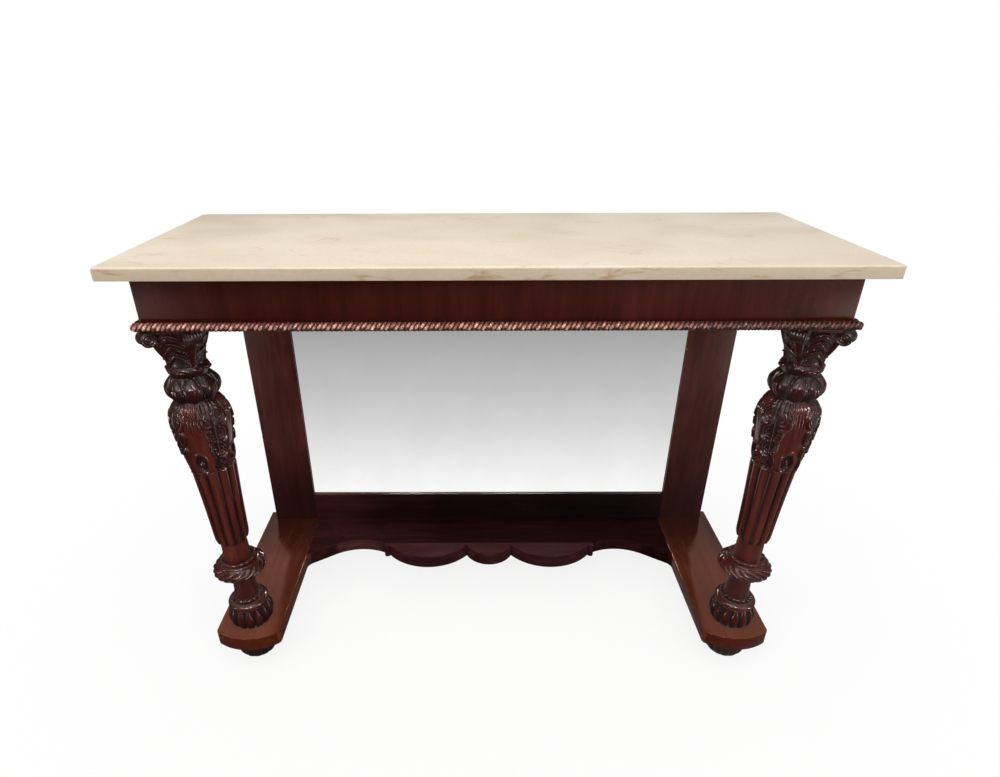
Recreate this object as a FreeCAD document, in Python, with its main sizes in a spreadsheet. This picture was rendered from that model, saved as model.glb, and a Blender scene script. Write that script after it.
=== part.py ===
import FreeCAD, Part
import math
import os
import Sketcher

# Pier table: a loose marble slab on a veneered mahogany frieze, two carved front legs, a framed
# mirror at the back and a shaped plinth on bun feet.
# X runs along the front, Y from front to back and Z up. The origin is on the floor, at the middle.

doc = FreeCAD.newDocument("pier_table")
dims = doc.addObject("Spreadsheet::Sheet", "dims")

sizes = {
    # marble slab
    "tableHeight": 950, "topWidth": 1346, "topDepth": 497, "topThick": 23,
    "topBackCorner": 16, "topFrontCorner": 3, "topEase": 2,
    "overhangSide": 39.5, "overhangFront": 37,
    # frieze box under the slab
    "friezeHeight": 100, "railThick": 22, "tongueThick": 8, "tongueLength": 8,
    "bearerWidth": 60, "bearerThick": 22, "bearerReach": 230, "housingDeep": 6,
    "blockHeight": 82, "glueBlockSide": 40,
    # rope moulding round the frieze's lower edge, its round face as a share of its height
    "ropeHeight": 18, "ropeReach": 14, "ropeRoundness": 0.47, "mitreWaste": 90,
    # uprights, rails and glass at the back
    "stileWidth": 119, "stileThick": 28, "stileInset": 13.5, "stileTenonLength": 22, "stileTenonInset": 20,
    "bottomRailHeight": 82, "topRailHeight": 60,
    "tenonThick": 10, "tenonLength": 30, "tenonShoulder": 12, "tenonCheek": 1,
    "mirrorLip": 6, "mirrorRebate": 8, "plateThick": 5, "plateGap": 0.5,
    "beadWidth": 12, "boardThick": 10, "boardGap": 0.6,
    # plinth
    "footHeight": 59.4, "plinthThick": 35, "plinthOverSide": 6, "plinthOverFront": 30,
    "armWidth": 146.5, "armBow": 24, "armCorner": 13,
    "centreCornerY": 31.5, "cornerBow": 5.3,
    "rampFootInset": 13, "rampFootY": 61, "rampHeadInset": 68, "rampHeadY": 97.5, "bayBow": 18.2,
    "apronHalf": 289, "apronBackY": 104, "cuspX": 61, "cuspY": 93,
    "lobeBow": 51, "middleLobeBow": 39, "nubRadius": 8, "nubLap": 2.4,
    "splineWidth": 40, "splineThick": 10, "splineInset": 45,
    # legs, whose heads stand further out than their feet
    "legHeadInset": 44.5, "legFootInset": 70, "legInsetFront": 45, "legSpare": 3, "turnedSides": 24,
    "pinRadius": 14, "topPinLength": 45, "footPinLength": 16, "footPinRadius": 12,
    "bunHeight": 51, "bunRadius": 50.5, "bunGadroons": 14, "bunGroove": 0.1,
    "ringHeight": 14, "ringRadius": 45, "beadRingHeight": 7, "beadRingRadius": 34,
    "ankleHeight": 72, "ankleFootRadius": 27, "ankleRadius": 24,
    "collarHeight": 47, "collarRadius": 58, "collarStrands": 16, "collarTwist": 34, "collarGroove": 0.09,
    "stemRadius": 28, "stemHeight": 45,
    "reedFootRadius": 36, "reedHeadRadius": 45, "reeds": 12, "reedGroove": 0.12,
    "vaseHeight": 155, "vaseRadius": 59, "vaseLobes": 8, "vaseGroove": 0.05, "waistRadius": 42,
    "bulbHeight": 60, "bulbRadius": 51.5, "bulbLobes": 8, "bulbGroove": 0.12,
    "neckRingHeight": 13, "neckRingRadius": 39, "neckRadius": 33,
    "bellHeight": 76.6, "bellWaistRadius": 37, "bellHeadRadius": 46, "abacusHalf": 48, "abacusThick": 2,
    "voluteRadius": 14, "voluteWidth": 28, "voluteReach": 59.5, "voluteStem": 14, "voluteMeeting": 258.5,
    "voluteLap": 0.5,
    # feet
    "footRadius": 49, "footGadroons": 12, "footGroove": 0.09,
    "rearFootRadius": 34, "rearFootSides": 24, "rearFootInset": 62,
    # gap left for glue round the leg and foot pins, and at the foot of their bores
    "glueGap": 0.2, "boreSpare": 1,
}
for row, (alias, number) in enumerate(sizes.items(), 1):
    dims.set(f"A{row}", alias)
    dims.set(f"B{row}", str(number))
    dims.setAlias(f"B{row}", alias)
doc.recompute()

# places that several pieces share, as expressions of the sheet
friezeHalf = "(dims.topWidth / 2 - dims.overhangSide)"
backFace = "(dims.topDepth / 2)"
frontFace = "(dims.overhangFront - dims.topDepth / 2)"
friezeTop = "(dims.tableHeight - dims.topThick)"
friezeFoot = f"({friezeTop} - dims.friezeHeight)"
frontInner = f"({frontFace} + dims.railThick)"
backInner = f"({backFace} - dims.railThick)"
endInner = f"({friezeHalf} - dims.railThick)"
stileOuter = f"({friezeHalf} - dims.stileInset)"
stileInner = f"({stileOuter} - dims.stileWidth)"
stileFace = f"({backFace} - dims.stileThick)"
plinthTop = "(dims.footHeight + dims.plinthThick)"
plinthHalf = f"({friezeHalf} + dims.plinthOverSide)"
armInner = f"({plinthHalf} - dims.armWidth)"
rampFootX = f"({armInner} - dims.rampFootInset)"
rampHeadX = f"({armInner} - dims.rampHeadInset)"
legHeadX = f"({friezeHalf} - dims.legHeadInset)"
legFootX = f"({plinthHalf} - dims.legFootInset)"
legY = f"({frontFace} + dims.legInsetFront)"
glassFoot = f"({plinthTop} + dims.bottomRailHeight)"
glassHead = f"({friezeFoot} - dims.topRailHeight)"
rebateFoot = f"({glassFoot} - dims.mirrorRebate)"
rebateHead = f"({glassHead} + dims.mirrorRebate)"
rebateSide = f"({stileInner} + dims.mirrorRebate)"
plateFront = f"({stileFace} + dims.mirrorLip)"
plateBack = f"({plateFront} + dims.plateThick)"
boardFront = f"({backFace} - dims.boardThick)"


def value(text):
    result = dims.evalExpression(str(text))
    return float(getattr(result, "Value", result))


def minus(text):
    return f"-({text})"


def place(solid, x, y, z):
    for axis, text in zip("xyz", (x, y, z)):
        solid.setExpression(f"Placement.Base.{axis}", str(text))
    return solid


def block(name, x, y, z):
    """Box between a low and a high expression on each axis."""
    solid = doc.addObject("Part::Box", name)
    for side, (low, high) in zip(("Length", "Width", "Height"), (x, y, z)):
        solid.setExpression(side, f"({high}) - ({low})")
    return place(solid, x[0], y[0], z[0])


def rod(name, radius, length, x, y, z, axis=(0, 0, 1)):
    """Cylinder from a point, along an axis."""
    solid = doc.addObject("Part::Cylinder", name)
    solid.setExpression("Radius", str(radius))
    solid.setExpression("Height", str(length))
    turn = FreeCAD.Rotation(FreeCAD.Vector(0, 0, 1), FreeCAD.Vector(*axis))
    solid.Placement = FreeCAD.Placement(FreeCAD.Vector(), turn)
    return place(solid, x, y, z)


def group(name, solids):
    bundle = doc.addObject("Part::Compound", name)
    bundle.Links = solids
    return bundle


def join(name, *solids):
    joined = doc.addObject("Part::MultiFuse", name)
    joined.Shapes = list(solids)
    joined.Refine = True
    return joined


def cut(name, base, *tools):
    trimmed = doc.addObject("Part::Cut", name)
    trimmed.Base = base
    trimmed.Tool = tools[0] if len(tools) == 1 else join(name + "_waste", *tools)
    return trimmed


def mirrored(name, source):
    """The same piece on the other side of the table's middle."""
    twin = doc.addObject("Part::Mirroring", name)
    twin.Source = source
    twin.Normal = FreeCAD.Vector(1, 0, 0)
    return twin


nodes = {}
closeTo = 0.01


def keep(name, solid):
    solid.Label = name
    nodes[name] = solid
    return solid


def originPlane(body, role):
    return next(plane for plane in body.Origin.OriginFeatures if plane.Role == role)


def bowRadius(start, end, bow):
    """Radius of an arc between two corners that stands off their chord by the bow."""
    chordSquare = f"((({end[0]}) - ({start[0]})) ^ 2 + (({end[1]}) - ({start[1]})) ^ 2)"
    return f"({chordSquare} / 4 + ({bow}) ^ 2) / (2 * ({bow}))"


def outline(body, name, role, corners):
    """Closed sketch. A corner is (x, y), or (x, y, bow, side) where an arc runs on to the next
    corner and stands off the straight way by the bow, to that side."""
    sketch = body.newObject("Sketcher::SketchObject", name)
    sketch.AttachmentSupport = (originPlane(body, role), [""])
    sketch.MapMode = "FlatFace"
    spots = [FreeCAD.Vector(value(corner[0]), value(corner[1]), 0) for corner in corners]
    radii = {}
    ends = []
    for number, corner in enumerate(corners):
        following = (number + 1) % len(corners)
        start, end = spots[number], spots[following]
        if len(corner) == 2:
            ends.append((sketch.addGeometry(Part.LineSegment(start, end), False), 1, 2))
            continue
        radii[number] = bowRadius(corner, corners[following], corner[2])
        radius = value(radii[number])
        chord = end - start
        left = FreeCAD.Vector(-chord.y, chord.x, 0).normalize()
        bulgesRight = corner[3] == "right"
        rise = radius - value(corner[2])
        centre = (start + end) / 2 + left * (rise if bulgesRight else -rise)
        angles = [math.atan2(spot.y - centre.y, spot.x - centre.x) for spot in (start, end)]
        circle = Part.Circle(centre, FreeCAD.Vector(0, 0, 1), radius)
        if bulgesRight:
            ends.append((sketch.addGeometry(Part.ArcOfCircle(circle, *angles), False), 1, 2))
        else:
            ends.append((sketch.addGeometry(Part.ArcOfCircle(circle, *reversed(angles)), False), 2, 1))
    for number, corner in enumerate(corners):
        geometry, first, _ = ends[number]
        before, _, last = ends[number - 1]
        sketch.addConstraint(Sketcher.Constraint("Coincident", before, last, geometry, first))
        for axis, text in zip("XY", corner):
            spot = spots[number].x if axis == "X" else spots[number].y
            index = sketch.addConstraint(Sketcher.Constraint(f"Distance{axis}", -1, 1, geometry, first, spot))
            sketch.renameConstraint(index, f"{axis.lower()}{number}")
            sketch.setExpression(f"Constraints.{axis.lower()}{number}", str(text))
        if number in radii:
            index = sketch.addConstraint(Sketcher.Constraint("Radius", geometry, value(radii[number])))
            sketch.renameConstraint(index, f"bow{number}")
            sketch.setExpression(f"Constraints.bow{number}", radii[number])
    return sketch


def padded(name, corners, length, base=("0", "0", "0")):
    """Body with one pad upwards from an outline on the XY plane."""
    body = doc.addObject("PartDesign::Body", name)
    pad = body.newObject("PartDesign::Pad", name + "_pad")
    pad.Profile = outline(body, name + "_outline", "XY_Plane", corners)
    pad.setExpression("Length", str(length))
    body.Tip = pad
    doc.recompute()
    return place(body, *base)


def dressed(body, name, kind, measure, size, wanted):
    sharp = body.Tip
    names = [f"Edge{number}" for number, edge in enumerate(sharp.Shape.Edges, 1) if wanted(edge)]
    dressing = body.newObject("PartDesign::" + kind, name)
    dressing.Base = (sharp, names)
    dressing.setExpression(measure, size)
    body.Tip = dressing
    doc.recompute()


def rounded(body, name, radius, wanted):
    """Rounds the edges of a body that pass the test."""
    dressed(body, name, "Fillet", "Radius", radius, wanted)


def eased(body, name, size, wanted):
    """Chamfers the edges of a body that pass the test."""
    dressed(body, name, "Chamfer", "Size", size, wanted)


def isUpright(edge, front):
    """Whether an edge stands upright, and lies before or behind the table's middle plane."""
    upright = edge.tangentAt(edge.FirstParameter).cross(FreeCAD.Vector(0, 0, 1)).Length < closeTo
    return upright and (edge.CenterOfMass.y < 0) == front


def lobedRing(height, radius, lobes, chords, depth, turn):
    """Corners of a ring of equal bulges round the Z axis, each of a few chords."""
    corners = []
    for step in range(lobes * chords):
        across = 2 * (step % chords) / chords - 1
        reach = radius - depth * across ** 2
        angle = 2 * math.pi * (step / chords - 0.5) / lobes + turn
        corners.append(FreeCAD.Vector(reach * math.cos(angle), reach * math.sin(angle), height))
    return corners


def facet(*corners):
    return Part.Face(Part.makePolygon(corners + corners[:1]))


def stacked(name, outlines, twisted=False):
    """Faceted solid between closed rings of corners, one above another."""
    faces = [facet(*outlines[0]), facet(*outlines[-1])]
    for below, above in zip(outlines, outlines[1:]):
        for step in range(len(below)):
            a, b, c, d = below[step - 1], below[step], above[step], above[step - 1]
            faces += [facet(a, b, c), facet(a, c, d)] if twisted else [facet(a, b, c, d)]
    solid = doc.addObject("Part::Feature", name)
    solid.Shape = Part.makeSolid(Part.makeShell(faces))
    return solid


# marble slab -------------------------------------------------------------------------------------

slabHalf, slabDeep = "dims.topWidth / 2", "dims.topDepth / 2"
slab = padded("marble", [(minus(slabHalf), minus(slabDeep)), (slabHalf, minus(slabDeep)),
                         (slabHalf, slabDeep), (minus(slabHalf), slabDeep)],
              "dims.topThick", ("0", "0", friezeTop))
rounded(slab, "marble_back_corners", "dims.topBackCorner", lambda edge: isUpright(edge, front=False))
rounded(slab, "marble_front_corners", "dims.topFrontCorner", lambda edge: isUpright(edge, front=True))
eased(slab, "marble_ease", "dims.topEase",
      lambda edge: abs(edge.CenterOfMass.z - value("dims.topThick")) < closeTo)
keep("marble_top", slab)

# frieze box --------------------------------------------------------------------------------------

tongueMid = "dims.railThick / 2"
tongueLow = f"{tongueMid} - dims.tongueThick / 2"
tongueHigh = f"{tongueMid} + dims.tongueThick / 2"
frieze = (friezeFoot, friezeTop)
frontTongue = ((f"{endInner} + {tongueLow}", f"{endInner} + {tongueHigh}"),
               (f"{frontInner} - dims.tongueLength", frontInner), frieze)
backTongue = ((endInner, f"{endInner} + dims.tongueLength"),
              (f"{backInner} + {tongueLow}", f"{backInner} + {tongueHigh}"), frieze)
bearerFoot = f"({friezeTop} - dims.bearerThick)"


def flipped(x):
    return minus(x[1]), minus(x[0])


def housings(name, y):
    """Sinkings for the ends of the two bearers in a long rail."""
    spans = [(f"{side} * dims.bearerReach - dims.bearerWidth / 2",
              f"{side} * dims.bearerReach + dims.bearerWidth / 2") for side in (-1, 1)]
    return [block(f"{name}_{number}", span, y, (bearerFoot, friezeTop)) for number, span in enumerate(spans)]


endRail = join("end_rail", block("end_rail_board", (endInner, friezeHalf), (frontInner, backFace), frieze),
               block("end_rail_tongue", *frontTongue))
endRail = keep("frieze_end_right", cut("end_rail_grooved", endRail, block("end_rail_groove", *backTongue)))
keep("frieze_end_left", mirrored("end_rail_left", endRail))

frontRail = block("front_rail_board", (minus(friezeHalf), friezeHalf), (frontFace, frontInner), frieze)
frontSinkings = housings("front_housing", (f"{frontInner} - dims.housingDeep", frontInner))
frontSinkings += [block("front_groove_right", *frontTongue),
                  block("front_groove_left", flipped(frontTongue[0]), *frontTongue[1:])]
keep("frieze_front_rail", cut("front_rail", frontRail, *frontSinkings))

backRail = join("back_rail_board",
                block("back_rail_middle", (minus(endInner), endInner), (backInner, backFace), frieze),
                block("back_tongue_right", *backTongue),
                block("back_tongue_left", flipped(backTongue[0]), *backTongue[1:]))


stileTenon = (f"{stileInner} + dims.stileTenonInset", f"{stileOuter} - dims.stileTenonInset")
stileTenonY = (f"{backInner} + {tongueLow}", f"{backInner} + {tongueHigh}")
headTenon = block("stile_head_tenon", stileTenon, stileTenonY,
                  (friezeFoot, f"{friezeFoot} + dims.stileTenonLength"))
footTenon = block("stile_foot_tenon", stileTenon, stileTenonY,
                  (f"{plinthTop} - dims.stileTenonLength", plinthTop))
backSinkings = housings("back_housing", (backInner, f"{backInner} + dims.housingDeep"))
backSinkings += [headTenon, mirrored("head_tenon_left", headTenon)]
keep("frieze_back_rail", cut("back_rail", backRail, *backSinkings))

for side, sign in (("left", -1), ("right", 1)):
    spot = f"{sign} * dims.bearerReach"
    keep(f"frieze_bearer_{side}", block(
        f"bearer_{side}", (f"{spot} - dims.bearerWidth / 2", f"{spot} + dims.bearerWidth / 2"),
        (f"{frontInner} - dims.housingDeep", f"{backInner} + dims.housingDeep"), (bearerFoot, friezeTop)))

pinBore = rod("pin_bore", "dims.pinRadius + dims.glueGap", "dims.topPinLength + dims.boreSpare",
              legHeadX, legY, friezeFoot)
cornerBlock = block("corner_block_blank", (f"2 * {legHeadX} - {endInner}", endInner),
                    (frontInner, f"2 * {legY} - {frontInner}"),
                    (friezeFoot, f"{friezeFoot} + dims.blockHeight"))
cornerBlock = keep("frieze_corner_block_right", cut("corner_block", cornerBlock, pinBore))
keep("frieze_corner_block_left", mirrored("corner_block_left", cornerBlock))

glueX = (f"{endInner} - dims.glueBlockSide", endInner)
glueZ = (friezeFoot, f"{friezeFoot} + dims.blockHeight")
glueY = (f"{backInner} - dims.glueBlockSide", backInner)
keep("frieze_glue_blocks", group("glue_blocks", [block("glue_block_right", glueX, glueY, glueZ),
                                                 block("glue_block_left", flipped(glueX), glueY, glueZ)]))

# rope moulding -----------------------------------------------------------------------------------

ropeBow = "(dims.ropeHeight * dims.ropeRoundness)"
ropeNeck = f"(dims.ropeReach - {ropeBow})"


def ropeStrip(name, length):
    """Round-faced strip on a fillet, lying along X from the YZ plane, its back on the plane Y = 0."""
    body = doc.addObject("PartDesign::Body", name)
    pad = body.newObject("PartDesign::Pad", name + "_pad")
    pad.Profile = outline(body, name + "_section", "YZ_Plane", [
        ("0", "0"), ("0", "dims.ropeHeight"),
        (minus(ropeNeck), "dims.ropeHeight", ropeBow, "right"), (minus(ropeNeck), "0")])
    pad.setExpression("Length", str(length))
    body.Tip = pad
    doc.recompute()
    return body


def mitre(name, side):
    """Waste beyond a front corner's mitre plane. Its side is "front" for the waste before the plane,
    which the side strip loses, or "end" for the waste outside it."""
    waste = doc.addObject("Part::Box", name)
    for edge in ("Length", "Width", "Height"):
        waste.setExpression(edge, "dims.mitreWaste")
    waste.Placement.Rotation = FreeCAD.Rotation(FreeCAD.Vector(0, 0, 1), -45 if side == "end" else -135)
    along = "dims.mitreWaste / 2 * sqrt(0.5)"
    return place(waste, f"{friezeHalf} + {along if side == 'front' else minus(along)}",
                 f"{frontFace} + {along}", f"{friezeFoot} - dims.mitreWaste / 2")


frontRope = place(ropeStrip("front_rope", f"2 * ({friezeHalf} + dims.ropeReach)"),
                  minus(f"{friezeHalf} + dims.ropeReach"), frontFace, friezeFoot)
outerMitre = mitre("outer_mitre", "end")
otherMitre = mirrored("outer_mitre_left", outerMitre)
keep("rope_moulding_front", cut("front_rope_mitred", frontRope, outerMitre, otherMitre))

sideRope = ropeStrip("side_rope", f"{backFace} - {frontFace} + dims.ropeReach")
sideRope.Placement = FreeCAD.Placement(FreeCAD.Vector(), FreeCAD.Rotation(FreeCAD.Vector(0, 0, 1), 90))
place(sideRope, friezeHalf, f"{frontFace} - dims.ropeReach", friezeFoot)
sideRope = keep("rope_moulding_right", cut("side_rope_mitred", sideRope, mitre("inner_mitre", "front")))
keep("rope_moulding_left", mirrored("side_rope_left", sideRope))

# frame of the glass ------------------------------------------------------------------------------

tenonY = (f"{plateFront} + dims.tenonCheek", f"{plateFront} + dims.tenonCheek + dims.tenonThick")
tenonX = (stileInner, f"{stileInner} + dims.tenonLength")
footTenonZ = (f"{plinthTop} + dims.tenonShoulder", f"{rebateFoot} - dims.tenonShoulder")
headTenonZ = (f"{rebateHead} + dims.tenonShoulder", f"{friezeFoot} - dims.tenonShoulder")
stile = cut("stile",
            block("stile_board", (stileInner, stileOuter), (stileFace, backFace), (plinthTop, friezeFoot)),
            block("stile_rebate", (stileInner, rebateSide), (plateFront, backFace), (rebateFoot, rebateHead)),
            block("stile_foot_mortise", tenonX, tenonY, footTenonZ),
            block("stile_head_mortise", tenonX, tenonY, headTenonZ))
stile = keep("pilaster_right", join("stile_tenoned", stile, headTenon, footTenon))
keep("pilaster_left", mirrored("stile_left", stile))

railX, railY = (minus(stileInner), stileInner), (stileFace, backFace)
tenonSpan = (minus(f"{stileInner} + dims.tenonLength"), f"{stileInner} + dims.tenonLength")
footRail = cut("foot_rail_board", block("foot_rail_blank", railX, railY, (plinthTop, glassFoot)),
               block("foot_rail_rebate", railX, (plateFront, backFace), (rebateFoot, glassFoot)))
footRail = join("foot_rail", footRail, block("foot_rail_tenon", tenonSpan, tenonY, footTenonZ))
keep("mirror_bottom_rail", footRail)
headRail = cut("head_rail_board", block("head_rail_blank", railX, railY, (glassHead, friezeFoot)),
               block("head_rail_rebate", railX, (plateFront, backFace), (glassHead, rebateHead)))
headRail = join("head_rail", headRail, block("head_rail_tenon", tenonSpan, tenonY, headTenonZ))
keep("mirror_top_rail", headRail)

plateSide = f"({rebateSide} - dims.plateGap)"
plateZ = (f"{rebateFoot} + dims.plateGap", f"{rebateHead} - dims.plateGap")
keep("mirror_plate", block("plate", (minus(plateSide), plateSide), (plateFront, plateBack), plateZ))

boardWidth = f"(2 * {plateSide} / 3)"
beadY = (plateBack, boardFront)
beadSideX = (f"{plateSide} - dims.beadWidth", plateSide)
beadRunX = (minus(beadSideX[0]), beadSideX[0])
beads = [block("bead_right", beadSideX, beadY, plateZ), block("bead_left", flipped(beadSideX), beadY, plateZ),
         block("bead_foot", beadRunX, beadY, (plateZ[0], f"{plateZ[0]} + dims.beadWidth")),
         block("bead_head", beadRunX, beadY, (f"{plateZ[1]} - dims.beadWidth", plateZ[1]))]
keep("mirror_beads", group("bead_strips", beads))

for number, side in enumerate(("left", "centre", "right")):
    low = f"-{plateSide} + {number} * {boardWidth}"
    span = (f"{low} + dims.boardGap / 2", f"{low} + {boardWidth} - dims.boardGap / 2")
    keep(f"backboard_{side}", block(f"board_{side}", span, (boardFront, backFace), plateZ))

# plinth ------------------------------------------------------------------------------------------

armFront = f"({frontFace} - dims.plinthOverFront + dims.armBow)"
armPad = padded("arm", [(armInner, armFront, "dims.armBow", "right"), (plinthHalf, armFront),
                        (plinthHalf, backFace), (armInner, backFace)],
                "dims.plinthThick", ("0", "0", "dims.footHeight"))
rounded(armPad, "arm_corners", "dims.armCorner", lambda edge: isUpright(edge, front=True))
splineMid = "(dims.footHeight + dims.plinthThick / 2)"
splineY = ("dims.centreCornerY + dims.splineInset", f"{backFace} - dims.splineInset")
splineZ = (f"{splineMid} - dims.splineThick / 2", f"{splineMid} + dims.splineThick / 2")
splineX = (f"{armInner} - dims.splineWidth / 2", f"{armInner} + dims.splineWidth / 2")
splines = [block("spline_right", splineX, splineY, splineZ),
           block("spline_left", flipped(splineX), splineY, splineZ)]
splineSet = keep("plinth_splines", group("spline_set", splines))

rearX, rearY = f"({plinthHalf} - dims.rearFootInset)", f"({backFace} - dims.rearFootInset)"
socketRadius, socketDeep = "dims.footPinRadius + dims.glueGap", "(dims.footPinLength + dims.boreSpare)"
legSocket = rod("leg_socket", socketRadius, socketDeep, legFootX, legY, f"{plinthTop} - {socketDeep}")
footSocket = rod("foot_socket", socketRadius, socketDeep, legFootX, legY, "dims.footHeight")
rearSocket = rod("rear_socket", socketRadius, socketDeep, rearX, rearY, "dims.footHeight")
armWaste = (splineSet, footTenon, legSocket, footSocket, rearSocket)
arm = keep("plinth_arm_right", cut("arm_bored", armPad, *armWaste))
keep("plinth_arm_left", mirrored("arm_left", arm))


def bothSides(half):
    """A half outline on the right, listed from the middle line out, and its reflection."""
    turned = []
    for number, corner in enumerate(half):
        before = half[number - 1] if number else ()
        turned.insert(0, (minus(corner[0]), corner[1]) + tuple(before[2:]))
    return turned + half


centreHalf = [("dims.apronHalf", "dims.apronBackY", "dims.bayBow", "left"),
              (rampHeadX, "dims.rampHeadY"),
              (rampFootX, "dims.rampFootY", "dims.cornerBow", "left"),
              (armInner, "dims.centreCornerY"), (armInner, backFace)]
centrePad = padded("centre", bothSides(centreHalf), "dims.plinthThick", ("0", "0", "dims.footHeight"))
keep("plinth_centre", cut("centre_grooved", centrePad, splineSet))

nubY = "(dims.apronBackY - dims.nubRadius)"
lobeEndX = "(dims.apronHalf - 2 * dims.nubRadius + dims.nubLap)"
apronHalf = [("dims.cuspX", "dims.cuspY", "dims.lobeBow", "right"), (lobeEndX, nubY),
             (lobeEndX, "dims.apronBackY")]
apronCorners = bothSides(apronHalf)
middle = len(apronHalf) - 1
apronCorners[middle] = apronCorners[middle][:2] + ("dims.middleLobeBow", "right")
apronPad = padded("apron", apronCorners, "dims.plinthThick", ("0", "0", "dims.footHeight"))
nubX = "(dims.apronHalf - dims.nubRadius)"
nub = cut("nub", rod("nub_post", "dims.nubRadius", "dims.plinthThick", nubX, nubY, "dims.footHeight"),
          block("nub_back", ("0", "dims.apronHalf"), ("dims.apronBackY", backFace),
                ("dims.footHeight", plinthTop)))
keep("plinth_apron", join("apron_joined", apronPad, nub, mirrored("nub_left", nub)))

# legs --------------------------------------------------------------------------------------------
# A leg is built upright on the Z axis at its true heights, with some spare at both ends. Its lower parts
# are counted up from the plinth and its upper parts down from the frieze, and the reeded taper is as long
# as the space between them. The leg is then leaned outwards, trimmed level where it meets the plinth and
# the frieze, and given its upright pins.

bunHead = f"({plinthTop} + dims.bunHeight)"
ringHead = f"({bunHead} + dims.ringHeight)"
beadRingHead = f"({ringHead} + dims.beadRingHeight)"
collarFoot = f"({ringHead} + dims.ankleHeight)"
collarHead = f"({collarFoot} + dims.collarHeight)"
reedFoot = f"({collarHead} + dims.stemHeight)"
abacusFoot = f"({friezeFoot} - dims.abacusThick)"
neckFoot = f"({abacusFoot} - dims.bellHeight)"
bulbHead = f"({neckFoot} - dims.neckRingHeight)"
bulbFoot = f"({bulbHead} - dims.bulbHeight)"
vaseFoot = f"({bulbFoot} - dims.vaseHeight)"
legFoot, legHead = f"({plinthTop} - dims.legSpare)", f"({friezeFoot} + dims.legSpare)"


def ringCorners(radius, height, foot):
    """Corners of a ring with canted edges on the leg's core, for a turned outline."""
    inner = f"{radius} - {height} / 3"
    return [(inner, foot), (radius, f"{foot} + {height} / 4"), (radius, f"{foot} + {height} * 3 / 4"),
            (inner, f"{foot} + {height}")]


coreCorners = [("dims.ankleRadius", legFoot), ("dims.ankleRadius", bunHead)]
coreCorners += ringCorners("dims.ringRadius", "dims.ringHeight", bunHead)
coreCorners += [
    ("dims.beadRingRadius", ringHead), ("dims.beadRingRadius", beadRingHead),
    ("dims.ankleFootRadius", beadRingHead), ("dims.ankleRadius", collarFoot),
    ("dims.ankleRadius", collarHead), ("dims.stemRadius", collarHead), ("dims.stemRadius", reedFoot),
    ("dims.ankleRadius", reedFoot), ("dims.ankleRadius", bulbHead)]
coreCorners += ringCorners("dims.neckRingRadius", "dims.neckRingHeight", bulbHead)
coreCorners += [
    ("dims.neckRadius", neckFoot), ("dims.bellWaistRadius", f"({neckFoot} + {abacusFoot}) / 2"),
    ("dims.bellHeadRadius", abacusFoot)]
core = stacked("leg_core", [lobedRing(value(height), value(radius), int(value("dims.turnedSides")), 1, 0, 0)
                            for radius, height in coreCorners])


def carved(name, foot, head, lobes, chords, radius, groove, rings, twist=0):
    """Faceted length of the leg between lobed rings. A ring is a share of the height and one of the
    radius, a groove is a share of the radius, and the twist is the turn in degrees from foot to head."""
    low, high, count, deep = value(foot), value(head), int(value(lobes)), value(groove)
    outlines = []
    for rise, share in rings:
        reach = value(radius) * share
        turn = math.radians(180 / count + twist * rise)
        outlines.append(lobedRing(low + rise * (high - low), reach, count, chords, reach * deep, turn))
    return stacked(name, outlines, twisted=bool(twist))


bunRings = ((0, 0.9), (0.22, 0.97), (0.45, 1), (0.76, 0.92), (1, 0.75))
bun = carved("bun", legFoot, bunHead, "dims.bunGadroons", 3, "dims.bunRadius", "dims.bunGroove", bunRings)

collarRings = ((0, 0.6), (0.2, 0.88), (0.38, 0.98), (0.56, 0.99), (0.76, 0.8), (1, 0.56))
collar = carved("rope_collar", collarFoot, collarHead, "dims.collarStrands", 2, "dims.collarRadius",
                "dims.collarGroove", collarRings, -value("dims.collarTwist"))

taperShare = value("dims.reedFootRadius / dims.reedHeadRadius")
taperRings = ((0, taperShare * 0.92), (0.05, taperShare), (1, 1))
taper = carved("reeded_taper", reedFoot, vaseFoot, "dims.reeds", 4, "dims.reedHeadRadius",
               "dims.reedGroove", taperRings)

waistShare = value("dims.waistRadius / dims.vaseRadius")
vaseRings = ((0, 0.79), (0.14, 0.86), (0.33, 0.89), (0.52, 0.95), (0.7, 1), (0.82, 0.96), (0.92, 0.85),
             (1, waistShare))
vase = carved("leafy_vase", vaseFoot, bulbFoot, "dims.vaseLobes", 4, "dims.vaseRadius", "dims.vaseGroove",
              vaseRings)

bulbRings = ((0, 0.84), (0.2, 0.92), (0.4, 1), (0.58, 0.97), (0.78, 0.87), (1, 0.8))
bulb = carved("lobed_bulb", bulbFoot, bulbHead, "dims.bulbLobes", 4, "dims.bulbRadius", "dims.bulbGroove",
              bulbRings)

abacusSpan = ("-dims.abacusHalf", "dims.abacusHalf")
abacus = block("abacus", abacusSpan, abacusSpan, (abacusFoot, legHead))


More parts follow.
